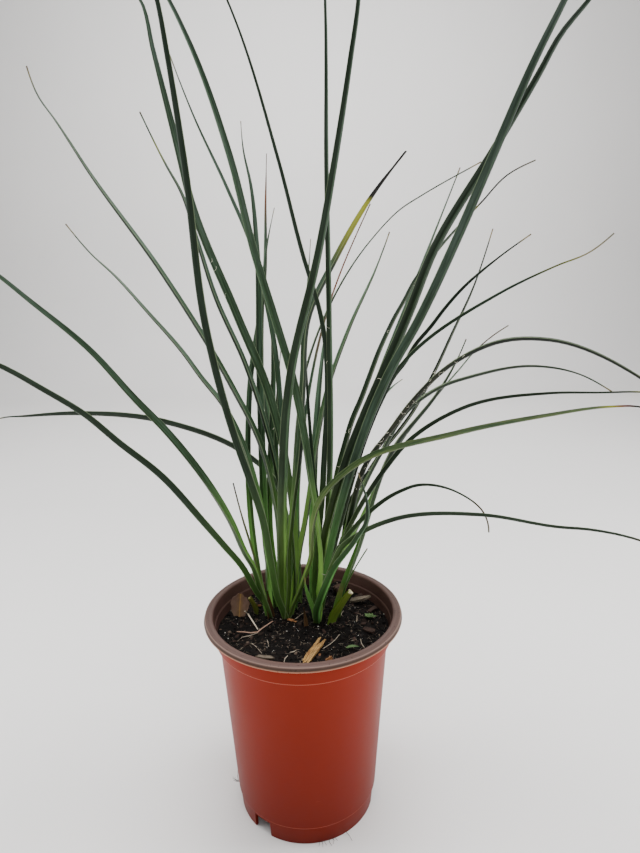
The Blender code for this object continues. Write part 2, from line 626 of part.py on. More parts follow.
def make_chip(name, size, place, turn, point, parts, finish):
    """A split piece of wood or bark: a block whose ends run out to a share of its width."""
    bm = bmesh.new()
    bmesh.ops.create_cube(bm, size=1)
    bmesh.ops.subdivide_edges(bm, edges=bm.edges, cuts=2, use_grid_fill=True)
    for vert in bm.verts:
        end = abs(vert.co.x) > 0.4
        wander = noise.noise(vert.co * 3 + Vector(place))
        vert.co.y *= point if end else 1 + CHIP_WANDER * wander
        vert.co.z *= CHIP_END_HEIGHT if end and vert.co.z > 0 else 1
    bmesh.ops.scale(bm, vec=size, verts=bm.verts)
    made = object_from(name, bm, finish, parts)
    made.location = Vector(place) * MM
    made.rotation_euler = [math.radians(angle) for angle in turn]


def main():
    clear_scene()
    bpy.context.scene.unit_settings.scale_length = 1
    parts = collection("potted_red_yucca")
    cutters = collection("cutters")
    finish = {name: material(name) for name in COLOURS}

    make_pot(parts, cutters, finish["pot"])
    make_soil(parts, finish["soil"])
    for name, leaf in LEAVES.items():
        make_leaf(name, leaf, parts, finish["leaf"])
    for name, sheath in DRY_SHEATHS.items():
        make_leaf(name, sheath, parts, finish["dry"])
    for name, stub in CUT_STUBS.items():
        make_tube(name, stub["route"], stub["radius"], parts, finish["cut_leaf"])
    make_tube("twig", TWIG, TWIG_RADIUS, parts, finish["wood"])
    make_tube("dead_leaf_stalk", STALK, TWIG_RADIUS, parts, finish["wood"])
    make_dead_leaf(parts, finish["dry"])
    for name, chip in CHIPS.items():
        kind = finish["wood"] if name == "wood_splinter" else finish["bark"]
        make_chip(name, chip["size"], chip["place"], chip["turn"], chip["point"], parts, kind)


main()
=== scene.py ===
# A young red yucca in its nursery pot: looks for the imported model.
# X runs right, Y to the back and Z up. Figures are in millimetres, and mm turns them to metres.
import math
import random

import bmesh
import bpy
import numpy as np
from mathutils import Matrix, Vector, noise


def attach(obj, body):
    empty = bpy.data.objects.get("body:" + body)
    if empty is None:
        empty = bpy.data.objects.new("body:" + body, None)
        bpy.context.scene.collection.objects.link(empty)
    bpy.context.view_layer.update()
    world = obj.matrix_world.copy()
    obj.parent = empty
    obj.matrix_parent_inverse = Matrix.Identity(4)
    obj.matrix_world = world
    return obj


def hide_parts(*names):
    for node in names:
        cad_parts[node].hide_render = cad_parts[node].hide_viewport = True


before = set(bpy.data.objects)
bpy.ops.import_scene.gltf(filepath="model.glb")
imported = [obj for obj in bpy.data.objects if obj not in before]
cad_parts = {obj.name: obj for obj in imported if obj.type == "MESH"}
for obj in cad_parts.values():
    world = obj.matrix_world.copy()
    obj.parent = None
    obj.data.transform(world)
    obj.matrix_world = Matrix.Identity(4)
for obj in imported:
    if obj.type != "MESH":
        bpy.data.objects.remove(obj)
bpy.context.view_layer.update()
mm = 0.001
print("frame loaded")


# small tools for materials

def srgb(hexColour):
    # an sRGB hex colour as linear values
    values = [int(hexColour[i:i + 2], 16) / 255 for i in (1, 3, 5)]
    return (*[v / 12.92 if v <= 0.04045 else ((v + 0.055) / 1.055) ** 2.4 for v in values], 1.0)


def addNode(tree, kind, settings=None, values=None, links=None):
    # one node with its settings, the values of its sockets and what feeds them
    node = tree.nodes.new("ShaderNode" + kind)
    for name, value in (settings or {}).items():
        setattr(node, name, value)
    for name, value in (values or {}).items():
        node.inputs[name].default_value = value
    for name, source in (links or {}).items():
        tree.links.new(source, node.inputs[name])
    return node


def newMaterial(name, **sockets):
    # a material and its node tree, with what is the same all over set on the shader
    made = bpy.data.materials.new(name)
    made.use_nodes = True
    for socket, value in sockets.items():
        made.node_tree.nodes["Principled BSDF"].inputs[socket.replace("_", " ")].default_value = value
    return made, made.node_tree


def paint(tree, colour, roughness=None, height=None, strength=0.5, depth=0.0003):
    # joins the colour, the roughness and a bump to the shader
    shader = tree.nodes["Principled BSDF"]
    tree.links.new(colour, shader.inputs["Base Color"])
    if roughness is not None:
        tree.links.new(roughness, shader.inputs["Roughness"])
    if height is not None:
        bump = addNode(tree, "Bump", {}, {"Strength": strength, "Distance": depth}, {"Height": height})
        tree.links.new(bump.outputs[0], shader.inputs["Normal"])


def feed(tree, socket, given):
    # given is a colour, a number or an output socket
    if isinstance(given, bpy.types.NodeSocket):
        tree.links.new(given, socket)
    else:
        socket.default_value = srgb(given) if isinstance(given, str) else given


def mix(tree, factor, first, second, how="MIX"):
    node = addNode(tree, "Mix", dict(data_type="RGBA", blend_type=how))
    for index, given in ((0, factor), (6, first), (7, second)):
        feed(tree, node.inputs[index], given)
    return node.outputs[2]


def maths(tree, operation, *given, clamp=False):
    node = addNode(tree, "Math", dict(operation=operation, use_clamp=clamp))
    for socket, value in zip(node.inputs, given):
        feed(tree, socket, value)
    return node.outputs[0]


def times(tree, first, second, clamp=False):
    return maths(tree, "MULTIPLY", first, second, clamp=clamp)


def linear(tree, source, slope, start, clamp=False):
    return maths(tree, "MULTIPLY_ADD", source, slope, start, clamp=clamp)


def closeTo(tree, source, middle, reach):
    # 1 at the middle, falling to 0 at the reach
    away = maths(tree, "ABSOLUTE", maths(tree, "SUBTRACT", source, middle))
    return maths(tree, "SUBTRACT", 1.0, times(tree, away, 1 / reach), clamp=True)


def ramp(tree, source, *stops):
    # stops are (place, colour or number)
    node = addNode(tree, "ValToRGB", {}, {}, {"Fac": source})
    elements = node.color_ramp.elements
    while len(elements) < len(stops):
        elements.new(0.5)
    for element, (place, colour) in zip(elements, stops):
        element.position = place
        element.color = srgb(colour) if isinstance(colour, str) else (colour, colour, colour, 1)
    return node.outputs[0]


def attributeOf(tree, name, output="Fac"):
    return addNode(tree, "Attribute", dict(attribute_name=name)).outputs[output]


def objectPlace(tree):
    return addNode(tree, "TexCoord").outputs["Object"]


def noiseOf(tree, place, scale, detail=2.0, roughness=0.5, shift=(0, 0, 0)):
    # scale is one number, or three to stretch the noise
    if not isinstance(scale, float):
        place = addNode(tree, "Mapping", {}, {"Scale": scale, "Location": shift}, {"Vector": place}).outputs[0]
        scale = 1.0
    values = {"Scale": scale, "Detail": detail, "Roughness": roughness}
    return addNode(tree, "TexNoise", {}, values, {"Vector": place}).outputs["Fac"]


# small tools for shapes

def onlySelect(piece):
    if bpy.context.mode != "OBJECT":
        bpy.ops.object.mode_set(mode="OBJECT")
    bpy.ops.object.select_all(action="DESELECT")
    if piece:
        piece.select_set(True)
        bpy.context.view_layer.objects.active = piece


def applyModifier(piece, kind, **settings):
    onlySelect(piece)
    modifier = piece.modifiers.new(kind.lower(), kind)
    for name, value in settings.items():
        setattr(modifier, name, value)
    bpy.ops.object.modifier_apply(modifier=modifier.name)


def selectWhere(piece, test):
    # selects the points of a piece in edit mode by their place
    bpy.ops.mesh.select_mode(type="VERT")
    shape = bmesh.from_edit_mesh(piece.data)
    for vert in shape.verts:
        vert.select_set(bool(test(vert.co)))
    shape.select_flush(True)
    bmesh.update_edit_mesh(piece.data)


def pointsOf(mesh):
    points = np.empty(len(mesh.vertices) * 3)
    mesh.vertices.foreach_get("co", points)
    return points.reshape(-1, 3)


def setPoints(mesh, points):
    mesh.vertices.foreach_set("co", np.asarray(points, float).ravel())
    mesh.update()


def setAttribute(mesh, name, values, kind="FLOAT"):
    # values holds one entry for each point, or one number for all
    if np.ndim(values) == 0:
        values = np.full(len(mesh.vertices), values)
    attribute = mesh.attributes.new(name, kind, "POINT")
    field = {"FLOAT": "value", "FLOAT_VECTOR": "vector", "FLOAT_COLOR": "color"}[kind]
    attribute.data.foreach_set(field, np.asarray(values, np.float32).ravel())


def newPiece(name, mesh):
    piece = bpy.data.objects.new(name, mesh)
    bpy.context.scene.collection.objects.link(piece)
    return piece


def settle(piece, name, materials, replaced=(), sharp=40):
    # names the piece, puts its place in its mesh, smooths it and lets it ride on the part's one body
    onlySelect(piece)
    bpy.ops.object.transform_apply(location=True, rotation=True, scale=True)
    piece.name = name
    piece.data.name = name
    if sharp:
        bpy.ops.object.shade_smooth_by_angle(angle=math.radians(sharp))
    else:
        bpy.ops.object.shade_smooth()
    for finish in materials:
        piece.data.materials.append(finish)
    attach(piece, "root")
    if replaced:
        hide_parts(*replaced)


def spin(outline, steps):
    # a round body: a disc extruded ring by ring along an outline of (radius, height)
    onlySelect(None)
    radius, height = outline[0]
    bpy.ops.mesh.primitive_circle_add(vertices=steps, radius=radius * mm, fill_type="NGON",
                                      location=(0, 0, height * mm))
    bpy.ops.object.transform_apply(location=True)
    bpy.ops.object.mode_set(mode="EDIT")
    bpy.ops.mesh.select_all(action="SELECT")
    for (radius, height), (nextRadius, nextHeight) in zip(outline, outline[1:]):
        bpy.ops.mesh.extrude_region_move(TRANSFORM_OT_translate={"value": (0, 0, (nextHeight - height) * mm)})
        grow = nextRadius / radius
        bpy.ops.transform.resize(value=(grow, grow, 1), center_override=(0, 0, nextHeight * mm))
    bpy.ops.mesh.select_all(action="SELECT")
    bpy.ops.mesh.normals_make_consistent(inside=False)
    bpy.ops.object.mode_set(mode="OBJECT")
    return bpy.context.object


def joinedCopies(name, models, places):
    # one mesh of many copies: places holds (model, matrix, tone), and the tone is kept as an attribute
    allPoints, allFaces, allTones, start = [], [], [], 0
    shapes = [(pointsOf(model.data), [tuple(face.vertices) for face in model.data.polygons]) for model in models]
    for index, matrix, tone in places:
        points, faces = shapes[index]
        turn = np.array(matrix)
        allPoints.append(points @ turn[:3, :3].T + turn[:3, 3])
        allFaces.extend([tuple(v + start for v in face) for face in faces])
        allTones.append(np.full(len(points), tone))
        start += len(points)
    mesh = bpy.data.meshes.new(name)
    mesh.from_pydata(np.vstack(allPoints).tolist(), [], allFaces)
    setAttribute(mesh, "tone", np.concatenate(allTones))
    return newPiece(name, mesh)


def hairs(name, lines, tones, sides=4):
    # thin tapering fibres as one mesh: lines holds (points, radius at the foot, radius at the tip)
    points, faces = [], []
    for route, footRadius, tipRadius in lines:
        route = [Vector(p) for p in route]
        last = len(route) - 1
        first = len(points)
        for k, place in enumerate(route):
            along = (route[min(k + 1, last)] - route[max(k - 1, 0)]).normalized()
            side = along.orthogonal().normalized()
            up = along.cross(side)
            radius = footRadius + (tipRadius - footRadius) * k / last
            for i in range(sides):
                angle = 2 * math.pi * i / sides
                points.append((place + radius * (side * math.cos(angle) + up * math.sin(angle))) * mm)
        for k in range(last):
            low, high = first + k * sides, first + (k + 1) * sides
            for i in range(sides):
                j = (i + 1) % sides
                faces.append((low + i, low + j, high + j, high + i))
        faces.append(tuple(reversed(range(first, first + sides))))
        faces.append(tuple(range(first + last * sides, first + (last + 1) * sides)))
    mesh = bpy.data.meshes.new(name)
    mesh.from_pydata(points, [], faces)
    setAttribute(mesh, "tone", tones)
    return newPiece(name, mesh)


# camera at the photograph's angle: a phone's wide lens, a little above the plant and tilted down

cameraLook = dict(place=(16.5, -482.4, 464.1), down=14.56, roll=0.905, lens=27.06)


def makeCamera():
    data = bpy.data.cameras.new("camera")
    data.sensor_fit = "AUTO"
    data.sensor_width = 36
    data.lens = cameraLook["lens"]
    data.clip_start = 0.02
    camera = newPiece("camera", data)
    tilt = Matrix.Rotation(math.radians(90 - cameraLook["down"]), 4, "X")
    roll = Matrix.Rotation(math.radians(-cameraLook["roll"]), 4, "Z")
    camera.matrix_world = Matrix.Translation(Vector(cameraLook["place"]) * mm) @ tilt @ roll
    bpy.context.scene.camera = camera


makeCamera()
print("camera placed")


# leaves: greatest width, taper (larger keeps the width longer), turn in degrees, and the route from foot to tip

leafShapes = {
    "leaf_01": (7.5, 1.9, 30, [(-38, 15, 166), (-38, 15, 175), (-40, 11, 187), (-45, 5, 204), (-51, -1, 221),
        (-63, -8, 242), (-77, -17, 267), (-103, -34, 312), (-126, -50, 342), (-142, -63, 365), (-161, -79, 386),
        (-178, -95, 404), (-232, -140, 432), (-284, -206, 446)]),
    "leaf_02": (8.2, 1.9, -46, [(-33, 14, 166), (-34, 11, 177), (-36, 11, 187), (-39, 11, 200), (-42, 11, 212),
        (-49, 9, 228), (-58, 6, 255), (-102, -8, 338), (-122, -14, 365), (-149, -23, 404), (-183, -35, 441),
        (-197, -40, 456), (-240, -52, 492), (-282, -62, 512)]),
    "leaf_03": (3.2, 4, -6, [(-35, 22, 166), (-36, 22, 186), (-39, 22, 201), (-42, 22, 217), (-51, 23, 255),
        (-57, 24, 285)]),
    "leaf_04": (6.8, 3.3, 10, [(-33, 20, 166), (-36, 35, 253), (-69, 57, 346), (-86, 63, 367), (-101, 70, 387),
        (-133, 82, 423), (-163, 94, 455), (-181, 100, 471), (-205, 110, 498)]),
    "leaf_05": (5.2, 3.8, 20, [(-34, 26, 166), (-47, 53, 249), (-48, 96, 349), (-34, 144, 453), (-33, 173, 517),
        (-32, 195, 566)]),
    "leaf_06": (5, 4, 0, [(-27, 35, 166), (-35, 54, 242), (-36, 83, 330), (-35, 117, 420), (-32, 134, 466),
        (-23, 152, 512)]),
    "leaf_07": (6.2, 4, 0, [(-24, 29, 166), (-33, 39, 227), (-34, 46, 260), (-36, 75, 368), (-37, 106, 476),
        (-42, 123, 531), (-48, 132, 560), (-50, 140, 585)]),
    "leaf_08": (5.6, 4.5, 0, [(-21, 41, 166), (-30, 55, 224), (-29, 78, 291), (-26, 103, 359), (-28, 130, 428)]),
    "leaf_09": (8.4, 3.3, -6, [(-21, 6, 166), (-29, 2, 232), (-33, -1, 264), (-40, -4, 293), (-52, -9, 339),
        (-66, -19, 419), (-70, -37, 526), (-74, -49, 589), (-76, -55, 613), (-112, -75, 698)]),
    "leaf_10": (7, 4, 6, [(-24, 15, 166), (-23, 22, 266), (-35, 27, 320), (-55, 32, 363), (-109, 45, 456),
        (-163, 57, 534), (-187, 63, 573), (-200, 67, 592), (-207, 70, 613)]),
    "leaf_11": (6.4, 5, 6, [(-19, 21, 166), (-15, 22, 206), (-18, 25, 272), (-44, 32, 383), (-66, 37, 437),
        (-79, 41, 483), (-89, 44, 517), (-99, 46, 536), (-117, 50, 575)]),
    "leaf_12": (8, 5, 34, [(-17, 33, 166), (-12, 37, 196), (-14, 43, 234), (-27, 56, 278), (-46, 63, 294),
        (-123, 81, 323), (-204, 100, 328), (-262, 112, 324), (-291, 118, 321), (-300, 120, 318)]),
    "leaf_13": (5.6, 3, -12, [(-15, 25, 166), (-16, 27, 191), (-17, 28, 203), (-17, 32, 243), (-17, 36, 281),
        (-23, 54, 407), (-39, 66, 478), (-57, 74, 522), (-83, 85, 580), (-102, 95, 631)]),
    "leaf_14": (5, 2.7, 0, [(-12, 42, 166), (-18, 45, 191), (-21, 47, 203), (-21, 50, 217), (-23, 62, 276),
        (-22, 75, 334), (-17, 90, 391)]),
    "leaf_15": (7.9, 2.3, 4, [(-18, 17, 166), (-17, 14, 186), (-16, 11, 203), (-12, -14, 296), (-6, -22, 365),
        (-1, -27, 394), (6, -33, 422), (14, -39, 451), (29, -55, 523), (38, -71, 576), (42, -80, 603),
        (34, -104, 690)]),
    "leaf_16": (7.4, 9, 12, [(-16, 9, 166), (-14, 9, 177), (-12, 9, 189), (-11, 9, 203), (-11, 9, 215), (-6, 9, 265),
        (1, 10, 317), (5, 13, 371), (10, 15, 421), (31, 17, 464), (59, 20, 510), (83, 22, 540)]),
    "leaf_17": (7.2, 4.2, -40, [(-13, 14, 166), (-8, 16, 186), (-7, 15, 200), (-7, 16, 211), (-12, 20, 293),
        (-26, 24, 363), (-48, 27, 422), (-81, 34, 513), (-86, 36, 538), (-102, 42, 615), (-109, 45, 648),
        (-150, 54, 676)]),
    "leaf_18": (5.2, 1.8, -20, [(-7, 25, 166), (-6, 26, 178), (-4, 29, 192), (-4, 41, 244), (5, 74, 334),
        (27, 111, 424), (67, 150, 514)]),
    "leaf_19": (6.2, 4.5, -20, [(-10, 18, 166), (-8, 19, 183), (-6, 19, 198), (-3, 21, 213), (-1, 22, 226),
        (2, 23, 240), (17, 49, 324), (21, 56, 343), (44, 78, 406), (68, 98, 455), (81, 110, 487)]),
    "leaf_20": (5.2, 1.6, -24, [(-2, 36, 166), (-9, 42, 206), (-8, 47, 237), (-7, 53, 268), (9, 80, 382),
        (66, 110, 482), (92, 120, 507), (112, 126, 519), (167, 142, 548)]),
    "leaf_21": (5.2, 3.2, 0, [(-4, 42, 166), (-6, 69, 232), (-3, 110, 311), (3, 156, 395), (10, 206, 485)]),
    "leaf_22": (7.2, 3.3, -72, [(5, 9, 166), (11, 6, 181), (12, 2, 196), (14, 1, 212), (7, 3, 295), (-4, -2, 373),
        (-17, -6, 424), (-29, -9, 468), (-43, -15, 534), (-66, -23, 605), (-75, -25, 624), (-128, -38, 674)]),
    "leaf_23": (7.4, 1.6, -16, [(7, 15, 166), (8, 14, 197), (17, 8, 295), (17, -6, 426), (5, -11, 469),
        (-10, -20, 532), (-37, -35, 620), (-78, -52, 692)]),
    "leaf_24": (5, 2.5, -12, [(7, 23, 166), (14, 23, 231), (9, 22, 304), (6, 21, 371), (5, 20, 434)]),
    "leaf_25": (5, 2.7, 18, [(12, 18, 166), (15, 18, 180), (16, 17, 196), (20, 10, 235), (24, 4, 293), (25, -10, 421),
        (24, -25, 528), (24, -42, 616), (20, -66, 694)]),
    "leaf_26": (6.2, 2.6, 30, [(-9, 13, 166), (-6, 9, 181), (-2, 4, 195), (2, 0, 208), (6, -6, 222), (9, -11, 236),
        (9, -16, 246), (17, -23, 287), (43, -30, 316), (114, -32, 339), (185, -20, 349), (236, -7, 352),
        (264, 0, 350), (300, 8, 333)]),
    "leaf_27": (7.5, 5, -34, [(10, 4, 166), (15, 7, 183), (18, 3, 200), (39, -16, 300), (67, -30, 383),
        (87, -38, 423), (108, -51, 475), (125, -63, 522), (144, -81, 576), (153, -90, 598), (174, -120, 664)]),
    "leaf_28": (7.4, 3.6, -60, [(12, 13, 166), (15, 13, 179), (16, 12, 196), (18, 4, 231), (35, -5, 303),
        (83, -21, 430), (96, -27, 467), (131, -40, 530), (154, -50, 572), (164, -55, 592), (177, -60, 608),
        (214, -78, 658)]),
    "leaf_29": (5, 4, -20, [(16, 23, 166), (21, 26, 184), (25, 30, 197), (31, 34, 213), (35, 36, 223), (42, 48, 255),
        (55, 56, 274), (71, 66, 295), (89, 74, 315), (99, 79, 327), (118, 92, 356), (142, 111, 400), (160, 126, 433),
        (183, 150, 490)]),
    "leaf_30": (5.6, 5, -44, [(15, 18, 166), (18, 19, 178), (21, 20, 193), (26, 20, 208), (28, 21, 224),
        (35, 25, 251), (70, 44, 350), (80, 46, 369), (89, 48, 380), (97, 51, 393), (110, 53, 408), (123, 57, 424),
        (135, 60, 437), (164, 67, 461), (195, 74, 482)]),
    "leaf_31": (7.4, 1.9, 6, [(13, 23, 166), (18, 25, 187), (24, 26, 235), (33, 36, 292), (39, 40, 313),
        (45, 44, 332), (53, 48, 350), (62, 53, 373), (67, 55, 386), (74, 59, 401), (81, 62, 415), (90, 66, 430),
        (97, 69, 443), (118, 75, 470), (157, 88, 510), (177, 94, 530), (203, 100, 543)]),
    "leaf_32": (4.7, 4.5, -16, [(12, 31, 166), (29, 50, 254), (65, 79, 350), (106, 111, 445), (149, 146, 544)]),
    "leaf_33": (5.2, 3.3, -38, [(16, 28, 166), (18, 29, 176), (20, 30, 188), (20, 32, 200), (36, 33, 270),
        (60, 33, 336), (79, 37, 372), (163, 45, 435), (208, 48, 456), (236, 50, 467), (254, 51, 481)]),
    "leaf_34": (5.2, 2, -12, [(17, 35, 166), (23, 39, 182), (30, 43, 197), (38, 48, 210), (47, 54, 225),
        (95, 84, 307), (114, 93, 328), (132, 101, 348), (149, 109, 365), (159, 115, 375), (177, 121, 390),
        (197, 130, 401)]),
    "leaf_35": (6, 4, -12, [(18, 15, 166), (18, 14, 183), (22, 13, 198), (27, 14, 213), (32, 14, 229), (65, 21, 306),
        (93, 26, 348), (117, 29, 363), (141, 32, 370), (188, 37, 377), (229, 41, 370), (262, 45, 353)]),
    "leaf_36": (7, 2.7, 0, [(15, 13, 166), (19, 9, 189), (24, 6, 207), (29, 4, 221), (34, 1, 236), (37, -2, 247),
        (55, -10, 315), (70, -14, 337), (85, -16, 359), (115, -24, 391), (147, -34, 407), (175, -42, 408),
        (226, -70, 386), (284, -98, 318)]),
    "leaf_37": (5.6, 1.9, -46, [(17, 9, 166), (18, 6, 189), (23, 1, 207), (28, -2, 222), (32, -5, 236),
        (66, -18, 308), (83, -19, 330), (122, -22, 356), (186, -20, 366), (224, -20, 366), (253, -20, 366),
        (300, -34, 361)]),
    "leaf_38": (5.4, 2.7, -42, [(14, 6, 166), (16, -3, 190), (19, -11, 207), (22, -16, 216), (29, -20, 241),
        (41, -25, 262), (76, -33, 296), (87, -35, 301), (115, -40, 298), (136, -47, 281), (138, -50, 270)]),
    "leaf_39": (6, 1.7, -30, [(6, 1, 166), (15, -10, 192), (19, -16, 209), (26, -29, 235), (33, -33, 252),
        (45, -38, 264), (71, -50, 281), (126, -76, 294), (170, -103, 296), (183, -111, 298), (206, -130, 299),
        (256, -206, 262)]),
    "leaf_40": (6.8, 2.4, -12, [(13, 1, 166), (13, -10, 186), (16, -16, 199), (21, -24, 217), (24, -27, 226),
        (43, -44, 264), (50, -48, 280), (50, -50, 292), (43, -54, 319)]),
    "leaf_41": (7.6, 4.5, -36, [(27, 10, 166), (31, 13, 179), (35, 14, 191), (46, 16, 221), (86, 47, 314),
        (104, 55, 333), (116, 61, 346), (134, 71, 372), (146, 80, 395)]),
    "leaf_42": (3.5, 2, 0, [(31, 11, 166), (33, 7, 181), (36, 4, 198), (43, 0, 216), (54, 2, 234)]),
    "leaf_43": (6, 2.5, -30, [(6, 5, 166), (4, 0, 190), (2, -5, 205), (2, -8, 214)]),
    "leaf_44": (6.5, 3.5, 6, [(8, 40, 166), (9, 64, 250), (14, 106, 326), (20, 158, 371), (24, 204, 392)]),
    "leaf_45": (6.5, 3.5, -10, [(-14, 50, 166), (-21, 70, 245), (-32, 108, 320), (-42, 160, 368), (-48, 206, 394)]),
    "leaf_46": (6, 3.5, 8, [(17, 44, 166), (32, 66, 240), (56, 104, 300), (82, 152, 330), (106, 198, 338)]),
}
# a dead tip that stays broad to its end
leastWidths = {"leaf_16": 2.2}

# what each leaf's tip shows, as (share of the length, colour, strength)
tipColours = dict(none="#3f5f45", yellow="#898b2a", brown="#45301f", red="#6b3a26", black="#15120f", grey="#5f5949",
                  straw="#97875a")
usualTip = [(0.965, "none", 0), (0.985, "straw", 0.5), (1, "brown", 1)]
leafTips = {
    "leaf_03": [(0, "grey", 0.2), (0.3, "brown", 0.55), (0.8, "brown", 0.8), (1, "black", 0.9)],
    "leaf_05": [(0.82, "none", 0), (0.9, "red", 0.7), (1, "brown", 1)],
    "leaf_11": [(0.9, "none", 0), (0.945, "yellow", 0.6), (0.96, "none", 0.1), (0.985, "none", 0.2), (1, "brown", 1)],
    "leaf_16": [(0.76, "none", 0), (0.83, "yellow", 0.75), (0.885, "yellow", 1), (0.9, "black", 1), (1, "black", 1)],
    "leaf_18": [(0.55, "none", 0), (0.75, "red", 0.8), (1, "brown", 1)],
    "leaf_26": [(0.12, "none", 0), (0.2, "yellow", 0.1), (0.82, "yellow", 0.1), (0.85, "yellow", 0.8),
                (0.87, "red", 0.9), (0.9, "black", 0.9), (1, "black", 1)],
    "leaf_31": [(0.8, "none", 0), (0.835, "yellow", 0.9), (0.86, "black", 0.9), (0.93, "black", 0.8), (1, "grey", 1)],
    "leaf_33": [(0.82, "none", 0), (0.9, "yellow", 0.35), (0.94, "straw", 0.5), (1, "grey", 1)],
    "leaf_34": [(0.84, "none", 0), (0.9, "brown", 0.9), (1, "grey", 1)],
    "leaf_36": [(0.22, "none", 0), (0.28, "grey", 0.12), (0.5, "grey", 0.12), (0.58, "none", 0), (1, "none", 0)],
    "leaf_37": [(0.86, "none", 0), (0.92, "yellow", 1), (1, "yellow", 1)],
    "leaf_38": [(0.86, "none", 0), (0.93, "brown", 0.8), (1, "grey", 1)],
    "leaf_39": [(0.74, "none", 0), (0.8, "brown", 0.6), (0.88, "straw", 0.9), (1, "grey", 1)],
    "leaf_40": [(0.95, "none", 0), (0.98, "straw", 0.5), (1, "brown", 1)],
    "leaf_41": [(0, "none", 0), (0.06, "yellow", 0.2), (0.1, "straw", 0.75), (0.14, "none", 0), (0.97, "none", 0),
                (1, "brown", 1)],
    "leaf_43": [(0.82, "none", 0), (0.93, "straw", 0.7), (1, "straw", 1)],
}
# leaves that stand out from the rest: 0 is dark and blue-green, 1 is light and yellow-green
leafTones = {
    "leaf_01": 0.35, "leaf_02": 0.5, "leaf_03": 0.6, "leaf_09": 0.4, "leaf_13": 0.25, "leaf_15": 0.8, "leaf_16": 0.8,
    "leaf_17": 0.75, "leaf_18": 0.15, "leaf_19": 0.9, "leaf_22": 0.75, "leaf_24": 0.1, "leaf_25": 0.8, "leaf_26": 1.0,
    "leaf_27": 0.15, "leaf_28": 1.0, "leaf_30": 0.5, "leaf_31": 0.85, "leaf_34": 0.6, "leaf_35": 0.6,
    "leaf_37": 0.7, "leaf_38": 0.55, "leaf_40": 0.1, "leaf_43": 0.3}
# painted light and shade for leaves that show their dark side or face the light low down: what their colour is
# multiplied by
leafShades = {
    "leaf_09": 1.1, "leaf_15": 1.3, "leaf_16": 0.8, "leaf_17": 0.7, "leaf_22": 1.4, "leaf_25": 1.3, "leaf_26": 0.9,
    "leaf_27": 0.78, "leaf_28": 0.62, "leaf_29": 0.1, "leaf_30": 0.4, "leaf_31": 0.35, "leaf_36": 0.45,
    "leaf_37": 0.7, "leaf_38": 0.8, "leaf_40": 1.15, "leaf_41": 0.7, "leaf_43": 1.3}
# leaves whose whole width faces the light, so that neither half is dark
evenLeaves = ("leaf_22", "leaf_27", "leaf_43")
# the feet of each crown clasp one another, closer than the gaps between the solids let them stand:
# middle of the crown, how far its leaves are pulled to it, and their numbers
crownLook = dict(height=34, crowns=(
    (-30, 14, 0.9, (1, 2, 3, 4, 5)), (-14, 10, 0.65, (9, 10, 11, 13, 15, 16, 17, 19, 26)),
    (12.5, 4, 0.65, (22, 23, 25, 27, 28, 31, 35, 36, 37, 38, 39, 40, 43))))
crownOf = {f"leaf_{number:02d}": (x, y, pull) for x, y, pull, numbers in crownLook["crowns"] for number in numbers}
bladeLook = dict(rows=80, columns=8, fold=0.4, thickness=0.16, marginShare=0.3, tipWidth=0.7, footShare=0.9,
                 footReach=0.2, shadeTop=230.0, turnedBy=0.4, leastDepthWidth=2.0, rooted=3.0)


def smoothStep(share):
    share = np.clip(share, 0, 1)
    return share * share * (3 - 2 * share)


def makeBladeModel():
    # a flat strip folded into a shallow channel, thick along the keel and thin at the margins
    look = bladeLook
    onlySelect(None)
    bpy.ops.mesh.primitive_grid_add(x_subdivisions=look["columns"], y_subdivisions=look["rows"], size=1)
    blade = bpy.context.object
    bpy.ops.object.mode_set(mode="EDIT")
    bpy.ops.mesh.select_all(action="SELECT")
    bpy.ops.transform.translate(value=(0, 0.5, 0))
    half = look["columns"] // 2
    for column in range(1, half + 1):
        across = column / half / 2
        selectWhere(blade, lambda co: abs(abs(co.x) - across) < 0.01)
        bpy.ops.transform.translate(value=(0, 0, look["fold"] * (2 * across) ** 1.2))
    bpy.ops.object.mode_set(mode="OBJECT")
    wall = blade.vertex_groups.new(name="wall")
    for vert in blade.data.vertices:
        edge = abs(vert.co.x) * 2
        wall.add([vert.index], 1 - (1 - look["marginShare"]) * edge ** 2, "REPLACE")
    applyModifier(blade, "SOLIDIFY", thickness=look["thickness"], offset=-1, vertex_group="wall")
    return blade


def smoothRoute(points, count):
    # evenly spaced points on a smooth curve through the given ones, as the solids have it
    points = np.array(points, float)
    spans = np.linalg.norm(np.diff(points, axis=0), axis=1)
    starts = np.concatenate([[0], np.cumsum(spans)])
    slopes = np.diff(points, axis=0) / spans[:, None]
    tangents = np.zeros_like(points)
    tangents[0] = 1.5 * slopes[0] - 0.5 * (points[2] - points[0]) / (spans[0] + spans[1])
    tangents[-1] = 1.5 * slopes[-1] - 0.5 * (points[-1] - points[-3]) / (spans[-1] + spans[-2])
    for i in range(1, len(points) - 1):
        before, after = spans[i - 1], spans[i]
        tangents[i] = (slopes[i - 1] * after + slopes[i] * before) / (before + after)
    route = []
    for along in np.linspace(0, starts[-1], count):
        i = min(int(np.searchsorted(starts, along + 1e-6, side="right")) - 1, len(spans) - 1)
        s = (along - starts[i]) / spans[i]
        route.append(points[i] * (2 * s**3 - 3 * s**2 + 1) + tangents[i] * spans[i] * (s**3 - 2 * s**2 + s)
                     + points[i + 1] * (3 * s**2 - 2 * s**3) + tangents[i + 1] * spans[i] * (s**3 - s**2))
    return np.array(route), starts[-1]


